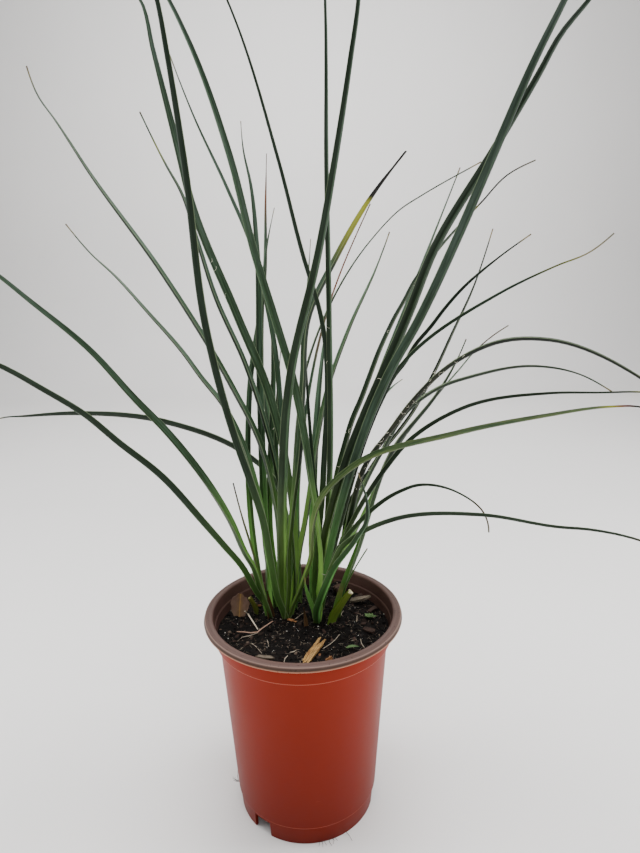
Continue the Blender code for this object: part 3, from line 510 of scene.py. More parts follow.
def bladeFrames(route, turn, count):
    # centre, sideways and upward directions at each row of the blade
    centres, length = smoothRoute(route, count)
    heading = Vector(route[-1]) - Vector(route[0])
    sideOn = Vector((-heading.y, heading.x, 0)).normalized()
    sides, ups = [], []
    for k in range(count):
        along = Vector(centres[min(k + 1, count - 1)] - centres[max(k - 1, 0)])
        along.normalize()
        side = (sideOn - sideOn.dot(along) * along).normalized()
        angle = math.radians(turn * smoothStep(k / (count - 1) / bladeLook["turnedBy"]))
        side = Matrix.Rotation(angle, 3, along) @ side
        sides.append(side)
        ups.append(along.cross(side))
    return centres, np.array(sides), np.array(ups), length


bladeFrameOf = {}


def growBlade(name, width, taper, turn, route, widths=None, tips=usualTip, tone=0.5, deep=1, crown=None, shade=1.0,
              even=False, fades=False, tipWidth=bladeLook["tipWidth"]):
    # copies the blade model and runs it along its route
    look = bladeLook
    rows = look["rows"]
    foot = (route[0][0], route[0][1], route[0][2] - look["rooted"])
    route = [foot] + list(route[1:])
    centres, sides, ups, length = bladeFrames(route, turn, rows + 1)
    shares = np.linspace(0, 1, rows + 1)
    if crown:
        pull = crown[2] * (1 - smoothStep(shares * length / crownLook["height"]))
        centres[:, :2] += pull[:, None] * (np.array(crown[:2]) - foot[:2])
    if widths is None:
        footWidth = look["footShare"] + (1 - look["footShare"]) * smoothStep(shares / look["footReach"])
        widths = np.maximum(tipWidth, width * (1 - shares ** taper) * footWidth)
    depths = np.maximum(widths, look["leastDepthWidth"]) * deep
    bladeFrameOf[name] = (centres, sides, ups, widths)
    mesh = bladeModel.data.copy()
    model = pointsOf(mesh)
    row = np.clip(np.rint(model[:, 1] * rows).astype(int), 0, rows)
    across = model[:, 0]
    points = (centres[row] + sides[row] * (across * widths[row])[:, None]
              + ups[row] * (model[:, 2] * depths[row])[:, None])
    setPoints(mesh, points * mm)
    share = shares[row]
    setAttribute(mesh, "along", share)
    # the lower half of a leaning leaf's channel counts as the one below zero, and the leaf's material paints shade on
    # it
    leans = math.copysign(1, route[-1][0] - route[0][0])
    half = np.clip(across * 2, -1, 1) * leans
    setAttribute(mesh, "across", np.abs(half) if even else half)
    setAttribute(mesh, "above", share * length)
    setAttribute(mesh, "tone", tone)
    # a shade that fades is gone towards the leaf's top
    setAttribute(mesh, "shade", shade + (1 - shade) * fades * smoothStep(share * length / look["shadeTop"]))
    places = [stop[0] for stop in tips]
    colours = np.array([srgb(tipColours[stop[1]])[:3] for stop in tips])
    if tips[0][1] == "none":
        colours[0] = colours[1]
    strength = np.interp(share, places, [stop[2] for stop in tips])
    blend = [np.interp(share, places, colours[:, c]) for c in range(3)]
    setAttribute(mesh, "tip", np.stack([*blend, strength], 1), "FLOAT_COLOR")
    uv = mesh.uv_layers[0].data
    for loop in mesh.loops:
        # the UV map is in millimetres, so that veins keep their real spacing
        place = uv[loop.index].uv
        k = min(int(round(place[1] * rows)), rows)
        uv[loop.index].uv = ((place[0] - 0.5) * widths[k], place[1] * length)
    return newPiece(name, mesh)


def leafMaterial():
    # living leaf skin under a thin waxy bloom: grey-green, satin, with fine lengthwise ribs, painted shade on the
    # lower half of its channel, hair-thin pale margins, a yellow-green foot, and tips that have yellowed or died
    made, tree = newMaterial("waxy yucca leaf", Specular_IOR_Level=0.15)
    uv = addNode(tree, "UVMap").outputs[0]
    across, above, tone, shade = [attributeOf(tree, name) for name in ("across", "above", "tone", "shade")]
    tip = addNode(tree, "Attribute", dict(attribute_name="tip")).outputs

    # ribs about 0.7 mm apart, drawn as noise stretched along the leaf
    ribs = noiseOf(tree, uv, (1.4, 0.01, 1), 3, 0.6)
    # the bloom is rubbed off in streaks some 3 mm wide and 50 mm long, and greyer from some 165 mm up
    bloom = noiseOf(tree, uv, (0.33, 0.02, 1), 4, 0.65)
    high = linear(tree, above, 1 / 300, -0.55, clamp=True)
    bare = mix(tree, tone, "#1a2b15", "#284019")
    waxed = mix(tree, times(tree, high, 0.85), mix(tree, tone, "#455f4d", "#587552"), "#5d675f")
    green = mix(tree, ramp(tree, bloom, (0.32, 0.05), (0.68, 0.95)), bare, waxed)
    green = mix(tree, 0.8, green, ramp(tree, ribs, (0.35, 0.5), (0.65, 1.0)), "MULTIPLY")
    # foot: vivid yellow-green where the leaf sheathes its neighbours, painted brighter as light on it from the front,
    # fading out over some 145 mm
    foot = ramp(tree, times(tree, above, 1 / 145), (0.02, 0.9), (0.4, 0.75), (1.0, 0.0))
    foot = times(tree, foot, linear(tree, bloom, 1.5, 0.1), clamp=True)
    green = mix(tree, foot, green, mix(tree, tone, "#62a854", "#a8d862"))
    green = mix(tree, times(tree, high, 0.35), green, "#4c5c54")
    # painted shade: the lower half of the channel is darker, as if turned away from the light, and the fold between
    # them a pale line
    green = mix(tree, ramp(tree, linear(tree, across, 0.5, 0.5), (0.38, 0.72), (0.54, 0.0)), green, "#0d1809")
    fold = maths(tree, "ABSOLUTE", maths(tree, "SUBTRACT", across, 0.06))
    green = mix(tree, ramp(tree, fold, (0.02, 0.2), (0.09, 0.0)), green, "#7aa070")
    # painted light and shade: each leaf's colour is multiplied by its shade, darker for leaves that show their dark
    # side, brighter low down for those facing the light
    green = addNode(tree, "VectorMath", dict(operation="SCALE"), {}, {"Vector": green, "Scale": shade}).outputs[0]
    # dark and brownish where it comes out of the soil
    green = mix(tree, ramp(tree, times(tree, above, 1 / 12), (0.2, 0.55), (1.0, 0.0)), green, "#2c2c0e")
    # margin: a hair-thin pale horny line
    green = mix(tree, ramp(tree, maths(tree, "ABSOLUTE", across), (0.94, 0.0), (0.99, 0.5)), green, "#8a9a74")
    # dead or yellowed tip, with a ragged start
    ragged = times(tree, linear(tree, bloom, 0.9, -0.45), maths(tree, "GREATER_THAN", tip["Alpha"], 0.02))
    dead = maths(tree, "ADD", tip["Alpha"], ragged, clamp=True)
    rough = maths(tree, "MAXIMUM", linear(tree, bloom, 0.25, 0.32), times(tree, dead, 0.7))
    paint(tree, mix(tree, dead, green, tip["Color"]), rough, ribs)
    return made


bladeModel = makeBladeModel()
leafSkin = leafMaterial()
toneDraw = random.Random(11)
for leafName, shape in leafShapes.items():
    shade = leafShades.get(leafName, 1.0)
    leaf = growBlade(leafName + "_skin", *shape, tips=leafTips.get(leafName, usualTip),
                     tone=leafTones.get(leafName, 0.2 + 0.5 * toneDraw.random()), crown=crownOf.get(leafName),
                     shade=shade, even=leafName in evenLeaves, fades=shade > 1 or leafName == "leaf_17",
                     tipWidth=leastWidths.get(leafName, bladeLook["tipWidth"]))
    settle(leaf, leafName + "_skin", [leafSkin], (leafName,), 55)
print("leaves grown:", len(leafShapes))


# pot: two-layer plastic sheet, brick red outside and brown inside, drawn into a mould

potLook = dict(steps=144, wall=1.4, height=181.9, rim=82.5, rimTop=81.1, rimInner=74.6, rimDepth=4.5,
               collarTop=75.5, collar=73.7, collarBottom=160.8, ledge=171.0, ledgeWidth=1.1,
               bodyTop=70.6, footLine=17.2, footLineRadius=60.9, footStep=1.0, foot=58.6, footWall=2.6,
               floorUnder=9.0, notchWidth=17.0, notchHeight=14.0, notchDepth=14.0, notchAngles=(231.5, 351.5, 111.5),
               drainRadius=4.0, drainCircle=36.0, drains=6, edge=0.35)


def bodyRadius(z):
    p = potLook
    share = (z - p["footLine"]) / (p["collarBottom"] - p["footLine"])
    return p["footLineRadius"] + share * (p["bodyTop"] - p["footLineRadius"])


def potProfile():
    # (radius, height) from the inside floor over the rim, then from under the rim to the underside
    p = potLook
    wall, top, lip = p["wall"], p["height"], p["height"] - p["rimDepth"]
    innerCollar, floorTop, footInside = p["collarTop"] - wall, p["floorUnder"] + wall, p["foot"] - p["footWall"]
    inside = [(bodyRadius(floorTop) - wall - 1.5, floorTop), (bodyRadius(p["footLine"]) - wall, p["footLine"]),
              (p["bodyTop"] - wall, p["collarBottom"] + wall), (p["collar"] - wall, p["collarBottom"] + wall),
              (innerCollar - p["ledgeWidth"], p["ledge"]), (innerCollar, p["ledge"] + 0.8),
              (p["rimInner"], top - 1.6), (p["rimInner"] + 0.5, top - 0.5), (p["rimInner"] + 1.8, top),
              (p["rimTop"] - 0.8, top), (p["rimTop"] + 0.5, top - 0.8), (p["rim"], lip + 0.6), (p["rim"] - 0.4, lip)]
    outside = [(p["rim"] - wall, lip), (p["rim"] - wall - 1, top - wall), (p["collarTop"] + 0.6, top - wall),
               (p["collarTop"], lip - 1), (p["collar"], p["collarBottom"] + 0.6),
               (p["collar"] - 0.6, p["collarBottom"]), (p["bodyTop"], p["collarBottom"]),
               (p["footLineRadius"], p["footLine"]), (p["footLineRadius"] - p["footStep"], p["footLine"] - 0.8),
               (p["foot"], 0), (footInside, 0), (footInside + 0.6, p["floorUnder"])]
    return inside, outside


def cutOut(piece):
    # cuts the shape just added out of a piece
    cutter = bpy.context.object
    applyModifier(piece, "BOOLEAN", operation="DIFFERENCE", object=cutter, solver="EXACT")
    bpy.data.objects.remove(cutter)
    onlySelect(None)


def makePot():
    p = potLook
    inside, outside = potProfile()
    pot = spin(inside + outside, p["steps"])
    applyModifier(pot, "BEVEL", width=p["edge"] * mm, segments=2, limit_method="ANGLE", angle_limit=math.radians(28))

    # which layer each face belongs to, by the nearest stretch of the profile
    profile = np.array(inside + outside)
    start, step = profile[:-1], np.diff(profile, axis=0)
    for face in pot.data.polygons:
        radius, height = math.hypot(face.center.x, face.center.y) / mm, face.center.z / mm
        spot = np.array((max(radius, 20), height))
        t = np.clip(((spot - start) * step).sum(1) / (step ** 2).sum(1), 0, 1)
        nearest = np.linalg.norm(start + step * t[:, None] - spot, axis=1).argmin()
        face.material_index = 0 if nearest >= len(inside) - 1 else 1
        if len(face.vertices) > 20:
            face.material_index = 1 if height > p["floorUnder"] + 0.5 else 0

    onlySelect(None)
    for angle in p["notchAngles"]:
        turn = math.radians(angle)
        reach = p["foot"] * mm
        bpy.ops.mesh.primitive_cube_add(size=1, rotation=(0, 0, turn),
                                        scale=(p["notchDepth"] * mm, p["notchWidth"] * mm, 2 * p["notchHeight"] * mm),
                                        location=(reach * math.cos(turn), reach * math.sin(turn), 0))
        cutOut(pot)
    for i in range(p["drains"]):
        turn = 2 * math.pi * i / p["drains"]
        reach = p["drainCircle"] * mm
        bpy.ops.mesh.primitive_cylinder_add(
            vertices=24, radius=p["drainRadius"] * mm, depth=8 * mm,
            location=(reach * math.cos(turn), reach * math.sin(turn), p["floorUnder"] * mm))
        cutOut(pot)
    return pot


def redPlastic():
    # thermoformed polypropylene, pigmented brick red: satin, faintly wavy from the mould, scuffed pale in places,
    # with painted shade low down, a pale cut edge under the lip and painted highlights round the collar's foot and
    # round the foot
    p = potLook
    made, tree = newMaterial("brick red polypropylene", IOR=1.49, Specular_IOR_Level=0.06)
    place = objectPlace(tree)
    height = times(tree, addNode(tree, "SeparateXYZ", {}, {}, {"Vector": place}).outputs["Z"], 1 / mm)
    broad = noiseOf(tree, place, 14.0)
    # rings left by the mould's turning marks, about 1 mm apart, hardly seen
    rings = noiseOf(tree, place, (4, 4, 900))
    fine = noiseOf(tree, place, 1800.0)
    # painted shade: the red darkens towards the bottom, where less light falls
    colour = mix(tree, times(tree, height, 1 / p["height"], clamp=True), "#601508", "#902710")
    colour = mix(tree, times(tree, broad, 0.4), colour, "#852611")
    scuffs = ramp(tree, noiseOf(tree, place, (60, 60, 300), 6, 0.7), (0.68, 0.0), (0.8, 0.3))
    colour = mix(tree, scuffs, colour, "#b8604a")
    # pale lines: the sheet's cut edge under the lip, and painted highlights where the bent edges catch the light
    # round the collar's foot and round the foot
    for middle, reach, strength, pale in ((p["height"] - p["rimDepth"], 0.9, 0.95, "#e0a48c"),
                                          (p["collarBottom"] + 0.3, 1.0, 0.9, "#d07a62"),
                                          (p["footLine"], 0.8, 0.6, "#c06450")):
        colour = mix(tree, times(tree, closeTo(tree, height, middle, reach), strength), colour, pale)
    rough = maths(tree, "ADD", linear(tree, broad, 0.1, 0.36), times(tree, scuffs, 0.4))
    relief = maths(tree, "ADD", times(tree, rings, 0.6), times(tree, fine, 0.25))
    paint(tree, colour, rough, relief, 0.2, 0.0002)
    return made


def brownPlastic():
    # the sheet's inner layer: dark brown polypropylene, dusty, taupe where it is stretched over the rim,
    # with a painted highlight along its outer corner and a pale lip edge
    p = potLook
    made, tree = newMaterial("taupe polypropylene", IOR=1.49, Specular_IOR_Level=0.1)
    place = objectPlace(tree)
    split = addNode(tree, "SeparateXYZ", {}, {}, {"Vector": place}).outputs
    flat = addNode(tree, "CombineXYZ", {}, {}, {"X": split["X"], "Y": split["Y"]}).outputs[0]
    radius = addNode(tree, "VectorMath", dict(operation="LENGTH"), {}, {"Vector": flat}).outputs["Value"]
    out, height = times(tree, radius, 1 / mm), times(tree, split["Z"], 1 / mm)
    dust = noiseOf(tree, place, 90.0, 6, 0.7)
    onRim = linear(tree, out, 0.5, -p["rimInner"] / 2, clamp=True)
    colour = mix(tree, onRim, "#4b332e", "#54423d")
    colour = mix(tree, maths(tree, "GREATER_THAN", out, p["rimTop"] + 0.6), colour, "#4b3a31")
    colour = mix(tree, times(tree, dust, 0.4), colour, "#584640")
    # rings drawn by the mould round the rim, 3 mm apart
    rings = maths(tree, "SINE", times(tree, out, 2 * math.pi / 3))
    colour = mix(tree, linear(tree, rings, 0.12, 0.12), colour, "#36241f")
    # painted highlight along the rim's outer top corner
    colour = mix(tree, times(tree, closeTo(tree, out, p["rimTop"] + 0.2, 0.6), 0.45), colour, "#a08478")
    aboveLip = maths(tree, "SUBTRACT", height, p["height"] - p["rimDepth"])
    outside = maths(tree, "GREATER_THAN", out, p["rimTop"])
    lip = times(tree, linear(tree, aboveLip, -1 / 1.6, 1.0, clamp=True), outside)
    colour = mix(tree, lip, colour, "#e0a282")
    # specks of soil about 1 mm wide
    colour = mix(tree, ramp(tree, noiseOf(tree, place, 700.0, 3), (0.66, 0.0), (0.72, 0.7)), colour, "#22130f")
    paint(tree, colour, linear(tree, dust, 0.25, 0.35), dust, 0.2, 0.0002)
    return made


settle(makePot(), "pot_shell", [redPlastic(), brownPlastic()], ("pot",), 30)
print("pot formed")


# potting mix: dark peat and bark, filled to about 16 mm under the rim, heaped a little at the back wall

soilLook = dict(top=166.2, sunk=0.6, flatRadius=52.0, edgeRadius=73.0, edgeDrop=1.8, steps=240, rings=46,
                ringPower=0.92, middle=0.4, wallGap=0.25, footGap=2.2, floorGap=0.4, reach=71.0, pieceHeight=0.6,
                seed=5, crumbs=2600, barkBits=120, fibres=520, perlite=120, shownPerlite=0.75, shownLift=0.8,
                mounds=((36, 66, 7.5, 150, 50), (30, 58, 2.5, 60, 60), (-12, 16, 1.3, 700, 700),
                        (18, 4, 1.0, 700, 700)),
                lumps=((1.0, 11), (0.8, 4.5), (0.55, 1.9)))


def soilHeight(x, y):
    # the heap against the back wall, the low mounds round the crowns, and lumps of three sizes
    s = soilLook
    out = max(0.0, (math.hypot(x, y) - s["flatRadius"]) / (s["edgeRadius"] - s["flatRadius"]))
    rise = sum(h * math.exp(-((x - a) ** 2 / wide + (y - b) ** 2 / deep)) for a, b, h, wide, deep in s["mounds"])
    lumps = sum(height * noise.noise(Vector((x, y, 3.7)) / size) for height, size in s["lumps"])
    return s["top"] - s["edgeDrop"] * min(out, 1) + rise + lumps - s["sunk"]


def makeSoil():
    s, p = soilLook, potLook
    wall = p["wall"] + s["wallGap"]
    bottom = p["floorUnder"] + p["wall"] + s["floorGap"]
    ledge = p["collarBottom"] + p["wall"]
    edge = p["collar"] - wall
    outline = [(bodyRadius(bottom) - wall - s["footGap"], bottom), (bodyRadius(p["footLine"]) - wall, p["footLine"]),
               (p["bodyTop"] - wall, ledge), (edge, ledge + 0.5), (edge, s["top"] - s["edgeDrop"])]
    outline += [(edge * (1 - k / s["rings"]) ** s["ringPower"], s["top"]) for k in range(1, s["rings"])]
    soil = spin(outline + [(s["middle"], s["top"])], s["steps"])
    points = pointsOf(soil.data)
    for point in points:
        if point[2] > (ledge + 1) * mm:
            point[2] = soilHeight(point[0] / mm, point[1] / mm) * mm
    setPoints(soil.data, points)
    return soil


def lumpModel(size, seed, rough=0.35):
    # a crumb: a small ball pushed in and out
    onlySelect(None)
    bpy.ops.mesh.primitive_ico_sphere_add(subdivisions=1, radius=0.5)
    lump = bpy.context.object
    points = pointsOf(lump.data)
    for point in points:
        point *= 1 + rough * noise.noise(Vector(point) * 2.5 + Vector((seed, 0, 0)))
    setPoints(lump.data, points * np.array(size))
    return lump


def flakeModel(size, seed):
    # a bark flake: a block cut once each way, its corners drawn in and its faces warped
    onlySelect(None)
    bpy.ops.mesh.primitive_cube_add(size=1)
    flake = bpy.context.object
    bpy.ops.object.mode_set(mode="EDIT")
    bpy.ops.mesh.subdivide(number_cuts=1)
    bpy.ops.object.mode_set(mode="OBJECT")
    points = pointsOf(flake.data)
    for point in points:
        shift = noise.noise_vector(Vector(point) * 1.7 + Vector((seed, seed, 0)))
        point[0] = point[0] * (1 - 0.5 * abs(point[1])) + 0.25 * shift.x
        point[1] = point[1] * (1 - 0.4 * abs(point[0])) + 0.25 * shift.y
        point[2] += 0.35 * shift.z
    setPoints(flake.data, points * np.array(size))
    return flake


def groundPlace(draw):
    # a place on the soil, evenly spread
    reach = soilLook["reach"]
    while True:
        x, y = draw.uniform(-reach, reach), draw.uniform(-reach, reach)
        if 0 < math.hypot(x, y) < reach:
            return x, y


def strewn(draw, x, y, size, sink, tilt, model, tone):
    # one copy lying on the soil at x, y: its size in mm, the share of it that is sunk, and how far it may tilt
    turn = Matrix.Rotation(draw.uniform(0, 2 * math.pi), 4, "Z") @ Matrix.Rotation(draw.gauss(0, tilt), 4, "X")
    height = soilHeight(x, y) + size * (0.5 - sink) * soilLook["pieceHeight"]
    place = Matrix.Translation(Vector((x, y, height)) * mm)
    return model, place @ turn @ Matrix.Scale(size * mm, 4), tone


def soilMaterial():
    # moist peat, composted bark and dust: near black, matt, with paler fibres and the odd damp glint
    made, tree = newMaterial("peat and bark potting mix", Specular_IOR_Level=0.08)
    place = objectPlace(tree)
    # crumbs of 2 mm and grit of 0.8 mm
    crumbs = addNode(tree, "TexVoronoi", {}, {"Scale": 450.0}, {"Vector": place}).outputs
    grit = noiseOf(tree, place, 1300.0, 4, 0.7)
    base = mix(tree, crumbs["Color"], "#070605", "#120e0c")
    base = mix(tree, ramp(tree, grit, (0.62, 0.0), (0.72, 0.7)), base, "#4a3d35")
    shade = ramp(tree, attributeOf(tree, "tone"), (0.0, "#040303"), (0.5, "#0c0908"), (0.78, "#201814"),
                 (0.92, "#40332b"), (1.0, "#7a6a5c"))
    paint(tree, mix(tree, 0.65, base, shade), linear(tree, crumbs["Distance"], 0.3, 0.55), grit, 0.9, 0.0006)
    return made


def dryStuff(name, dark, light, grain=(300, 300, 300), roughness=0.8, pits=0.5):
    # dry plant stuff: two tones along a grain, with tone shifted copy by copy
    made, tree = newMaterial(name, Roughness=roughness, Specular_IOR_Level=0.15)
    fine = noiseOf(tree, objectPlace(tree), grain, 5, 0.65)
    share = linear(tree, linear(tree, fine, 1.6, -0.3, clamp=True), 0.8, -0.25)
    share = linear(tree, attributeOf(tree, "tone"), 0.5, share, clamp=True)
    paint(tree, mix(tree, share, dark, light), None, fine, pits)
    return made


potMix = soilMaterial()
strawStuff = dryStuff("dry root fibre", "#5a4838", "#d8cbb6", (400, 400, 400), 0.7, 0.3)
soil = makeSoil()
setAttribute(soil.data, "tone", [0.5 * noise.noise(v.co * 120) + 0.4 for v in soil.data.vertices])
settle(soil, "soil_body", [potMix], ("soil",), 60)

draw = random.Random(soilLook["seed"])
# the flakes' warp is drawn from a seed of its own
noise.seed_set(soilLook["seed"])
crumbModels = [lumpModel((1.0, 0.8, 0.6), 1), lumpModel((1.2, 0.6, 0.5), 7), lumpModel((0.9, 0.9, 0.7), 13)]
flakeModels = [flakeModel((1.0, 0.5, 0.16), 2), flakeModel((1.0, 0.3, 0.12), 9), flakeModel((0.8, 0.6, 0.2), 15)]
crumbPlaces = []
for i in range(soilLook["crumbs"]):
    x, y = groundPlace(draw)
    size = min(4.2, 0.6 + draw.expovariate(1.5))
    crumbPlaces.append(strewn(draw, x, y, size, 0.25, 0.6, i % 3, draw.random() ** 1.3))
settle(joinedCopies("crumbs", crumbModels, crumbPlaces), "soil_crumbs", [potMix], (), 60)

flakePlaces = []
for i in range(soilLook["barkBits"]):
    x, y = groundPlace(draw)
    flakePlaces.append(strewn(draw, x, y, draw.uniform(2.0, 6.5), 0.4, 0.5, i % 3, draw.random() ** 2.2))
for i, (x, y, size, tone) in enumerate([(54.4, -11.2, 10, 0.6), (60, 22, 12, 0.5), (50, 44, 13, 0.35)]):
    flakePlaces.append(strewn(draw, x, y, size, 0.2, 0.2, i, tone))
settle(joinedCopies("flakes", flakeModels, flakePlaces), "bark_bits",
       [dryStuff("weathered pine bark", "#0e0907", "#4a3830", (250, 250, 900))], (), 35)

# grains that the photograph shows one by one, then many small ones
perlitePlaces = []
for i, (x, y, size) in enumerate([(-65.4, -7.5, 1.7), (-59.8, -13.9, 1.6), (-61.6, -16.8, 1.2), (-7.9, -4.2, 1.8),
                                  (12.2, -4.8, 1.9), (69.6, 17.8, 1.7), (45.1, -17.6, 1.4), (44.9, 25.3, 1.3),
                                  (-56.2, 3.3, 1.3)]):
    perlitePlaces.append(strewn(draw, x, y, soilLook["shownPerlite"] * size, 0.1, 0.6, i % 3, 0.5))
for i in range(soilLook["perlite"]):
    x, y = groundPlace(draw)
    perlitePlaces.append(strewn(draw, x, y, draw.uniform(0.3, 0.9), 0.2, 0.6, i % 3, 0.7 * draw.random()))
settle(joinedCopies("grains", crumbModels, perlitePlaces), "perlite_grains",
       [dryStuff("perlite grain", "#b9b4aa", "#f0eee8", (900, 900, 900), 0.9, 0.8)], (), 60)
for model in crumbModels + flakeModels:
    bpy.data.objects.remove(model)

# fibres that the photograph shows one by one, then many small ones
shownFibres = [
    [(-41, -27), (-37, -32), (-32, -40)], [(-29, -23), (-28, -27), (-27, -32)],
    [(-11.5, -44), (-13.5, -48), (-14, -53)], [(-10, -39), (-7.5, -39), (-5, -37)],
    [(-7, 6), (-3, 11), (0, 15)], [(32, 12), (33, 16), (34.6, 20)],
    [(41, 34), (49.5, 42), (57, 50)], [(16, -36), (22, -30), (26, -24), (30, -17)],
    [(46.5, -23), (47, -29), (49, -34)], [(45, 3), (45.5, 8), (46, 12)],
    [(52, 58), (57, 58), (61, 57)], [(-37.5, -11), (-44.5, -16), (-50, -18), (-53, -23)],
]


def onSoil(route, lift):
    return [(x, y, soilHeight(x, y) + lift) for x, y in route]


fibreLines = [(onSoil(route, soilLook["shownLift"]), 0.34, 0.24) for route in shownFibres]
for i in range(soilLook["fibres"]):
    x, y = groundPlace(draw)
    heading, length, bend = draw.uniform(0, 2 * math.pi), draw.uniform(2, 7), draw.gauss(0, 0.5)
    route = []
    for k in range(4):
        route.append((x, y))
        x, y = x + length / 4 * math.cos(heading), y + length / 4 * math.sin(heading)
        heading += bend
    if all(math.hypot(*spot) < soilLook["reach"] for spot in route):
        fibreLines.append((onSoil(route, draw.uniform(0.1, 0.9)), draw.uniform(0.07, 0.16), 0.05))
tones = []
for i, (route, wide, thin) in enumerate(fibreLines):
    tones += [0.9 if i < len(shownFibres) else 0.7 * draw.random() ** 2] * (3 * len(route))
settle(hairs("root_fibres", fibreLines, tones, 3), "root_fibres", [strawStuff], (), 0)
print("soil filled and strewn")


# litter: a split piece of wood, bark chips, a dead leaf with its stalk, a forked twig

chipLook = dict(
    wood_splinter=dict(size=(36, 6.2, 2.4), place=(8.8, -41.6, 168.4), turn=(4, -3, 64), cuts=19, jagged=4.5,
                       split=9.0, grooved=1.0),
    bark_chip_right=dict(size=(20, 5, 2), place=(50, 35, 169.6), turn=(0, -14, -4), cuts=9, jagged=2.4,
                         split=0, grooved=0.7),
    bark_chip_back=dict(size=(13, 9, 5.4), place=(33, 52, 170.2), turn=(0, 0, 30), cuts=7, jagged=1.8,
                        split=0, grooved=0.8),
    bark_chip_front=dict(size=(16, 2.6, 1.5), place=(-29, -47.3, 167.6), turn=(0, 0, -9), cuts=9, jagged=2.2,
                         split=0, grooved=0.5))


def makeChip(name):
    # a block cut into many faces, grooved along its grain, with ragged ends and, on the wood, one end in prongs
    c = chipLook[name]
    length, width, thick = c["size"]
    seed = Vector(c["size"])
    onlySelect(None)
    bpy.ops.mesh.primitive_cube_add(size=1)
    chip = bpy.context.object
    bpy.ops.object.mode_set(mode="EDIT")
    bpy.ops.mesh.subdivide(number_cuts=c["cuts"])
    bpy.ops.object.mode_set(mode="OBJECT")
    points = pointsOf(chip.data)
    setAttribute(chip.data, "grainPlace", points * np.array(c["size"]), "FLOAT_VECTOR")
    for point in points:
        x, y, z = point[0] * length, point[1] * width, point[2] * thick
        taper = 1 - 0.4 * (2 * abs(point[0])) ** 3
        groove = noise.noise(Vector((x * 0.03, y * 1.9, 0)) + seed)
        rough = noise.noise(Vector((x * 0.6, y * 2.5, z)) + seed)
        end = max(0.0, 2 * abs(point[0]) - 0.5) / 0.5
        ragged = noise.noise(Vector((y * 1.6, z * 0.4, 5)) + seed)
        x -= math.copysign(c["jagged"] * end * (0.6 + 1.3 * ragged), x)
        y = y * taper + 0.12 * width * noise.noise(Vector((x * 0.2, 0, 3)) + seed)
        z = z * (0.6 + 0.4 * taper) + c["grooved"] * (0.9 * groove + 0.3 * rough) * (0.4 + 0.6 * (point[2] > 0))
        if c["split"] and point[0] > 0:
            cleft = max(0.0, 1 - abs(y - 0.2) / 0.9)
            x -= cleft * c["split"] * min(1, end)
            y += math.copysign(0.8, y - 0.2) * end * (1 - cleft)
            z += 0.7 * end * (1 if y > 0.2 else -0.6)
        point[:] = (x, y, z)
    setPoints(chip.data, points * mm)
    chip.rotation_euler = [math.radians(angle) for angle in c["turn"]]
    chip.location = Vector(c["place"]) * mm
    return chip


def splitWood(name, pale, deep, streak, gap):
    # wood or bark torn along its grain: fibres some 0.4 mm wide, red-brown streaks and dark gaps between them
    made, tree = newMaterial(name, Roughness=0.75, Specular_IOR_Level=0.15)
    place = attributeOf(tree, "grainPlace", "Vector")
    fibres = noiseOf(tree, place, (0.12, 3.0, 1.0), 4, 0.7)
    streaks = noiseOf(tree, place, (0.1, 0.9, 1.0), 3, shift=(3, 7, 1))
    colour = mix(tree, linear(tree, fibres, 2.4, -0.7, clamp=True), deep, pale)
    colour = mix(tree, ramp(tree, streaks, (0.55, 0.0), (0.66, 0.65)), colour, streak)
    colour = mix(tree, ramp(tree, fibres, (0.38, 0.95), (0.48, 0.0)), colour, gap)
    paint(tree, colour, None, fibres, 0.8, 0.0005)
    return made


woodStuff = splitWood("split pine wood", "#b8955f", "#7a5a34", "#7a4426", "#2c1a0e")
greyChip = splitWood("bleached bark", "#7f7465", "#4f453a", "#5a4a3c", "#1a1410")
darkChip = splitWood("damp bark", "#4a382e", "#2a1d17", "#3c2419", "#0e0907")
for chipName, slotName, finish in (("wood_splinter", "wood", woodStuff), ("bark_chip_right", "bark", greyChip),
                                   ("bark_chip_back", "bark", darkChip), ("bark_chip_front", "bark", greyChip)):
    settle(makeChip(chipName), chipName + "_split", [finish], (chipName,), 50)

deadLeafLook = dict(width=15.5, height=20.0, thickness=0.45, place=(-55, 14, 177.3), turn=(68, 8, 12), cells=26)


def makeDeadLeaf():
    # a small round leaf from a square of faces: rounded, notched at its margin, cupped and creased on its midrib
    d = deadLeafLook
    onlySelect(None)
    bpy.ops.mesh.primitive_grid_add(x_subdivisions=d["cells"], y_subdivisions=d["cells"], size=2)
    leaf = bpy.context.object
    points = pointsOf(leaf.data)
    reach = []
    for point in points:
        x, y = point[0], point[1]
        angle = math.atan2(y, x)
        wave = 1 + 0.05 * math.sin(5 * angle + 0.6) + 0.035 * math.sin(11 * angle)
        wave -= 0.12 * max(0, math.cos(angle - 1.2)) ** 8
        # what brings the square to a round outline
        rounding = max(abs(x), abs(y)) * wave / (math.hypot(x, y) or 1)
        x, y = x * rounding, y * rounding
        curl = 0.16 * x ** 2 + 0.1 * y ** 3 * (1 if y > 0 else 0.4)
        curl += 0.05 * noise.noise(Vector((x * 2.2, y * 2.2, 4)))
        crease = -0.05 * math.exp(-(x / 0.08) ** 2)
        point[:] = (x * d["width"] / 2, y * d["height"] / 2, (curl + crease) * d["width"] / 2)
        reach.append((x, y))
    setPoints(leaf.data, points * mm)
    setAttribute(leaf.data, "across", [x for x, y in reach])
    setAttribute(leaf.data, "upward", [y for x, y in reach])
    applyModifier(leaf, "SOLIDIFY", thickness=d["thickness"] * mm, offset=0)
    leaf.rotation_euler = [math.radians(angle) for angle in d["turn"]]
    leaf.location = Vector(d["place"]) * mm
    return leaf


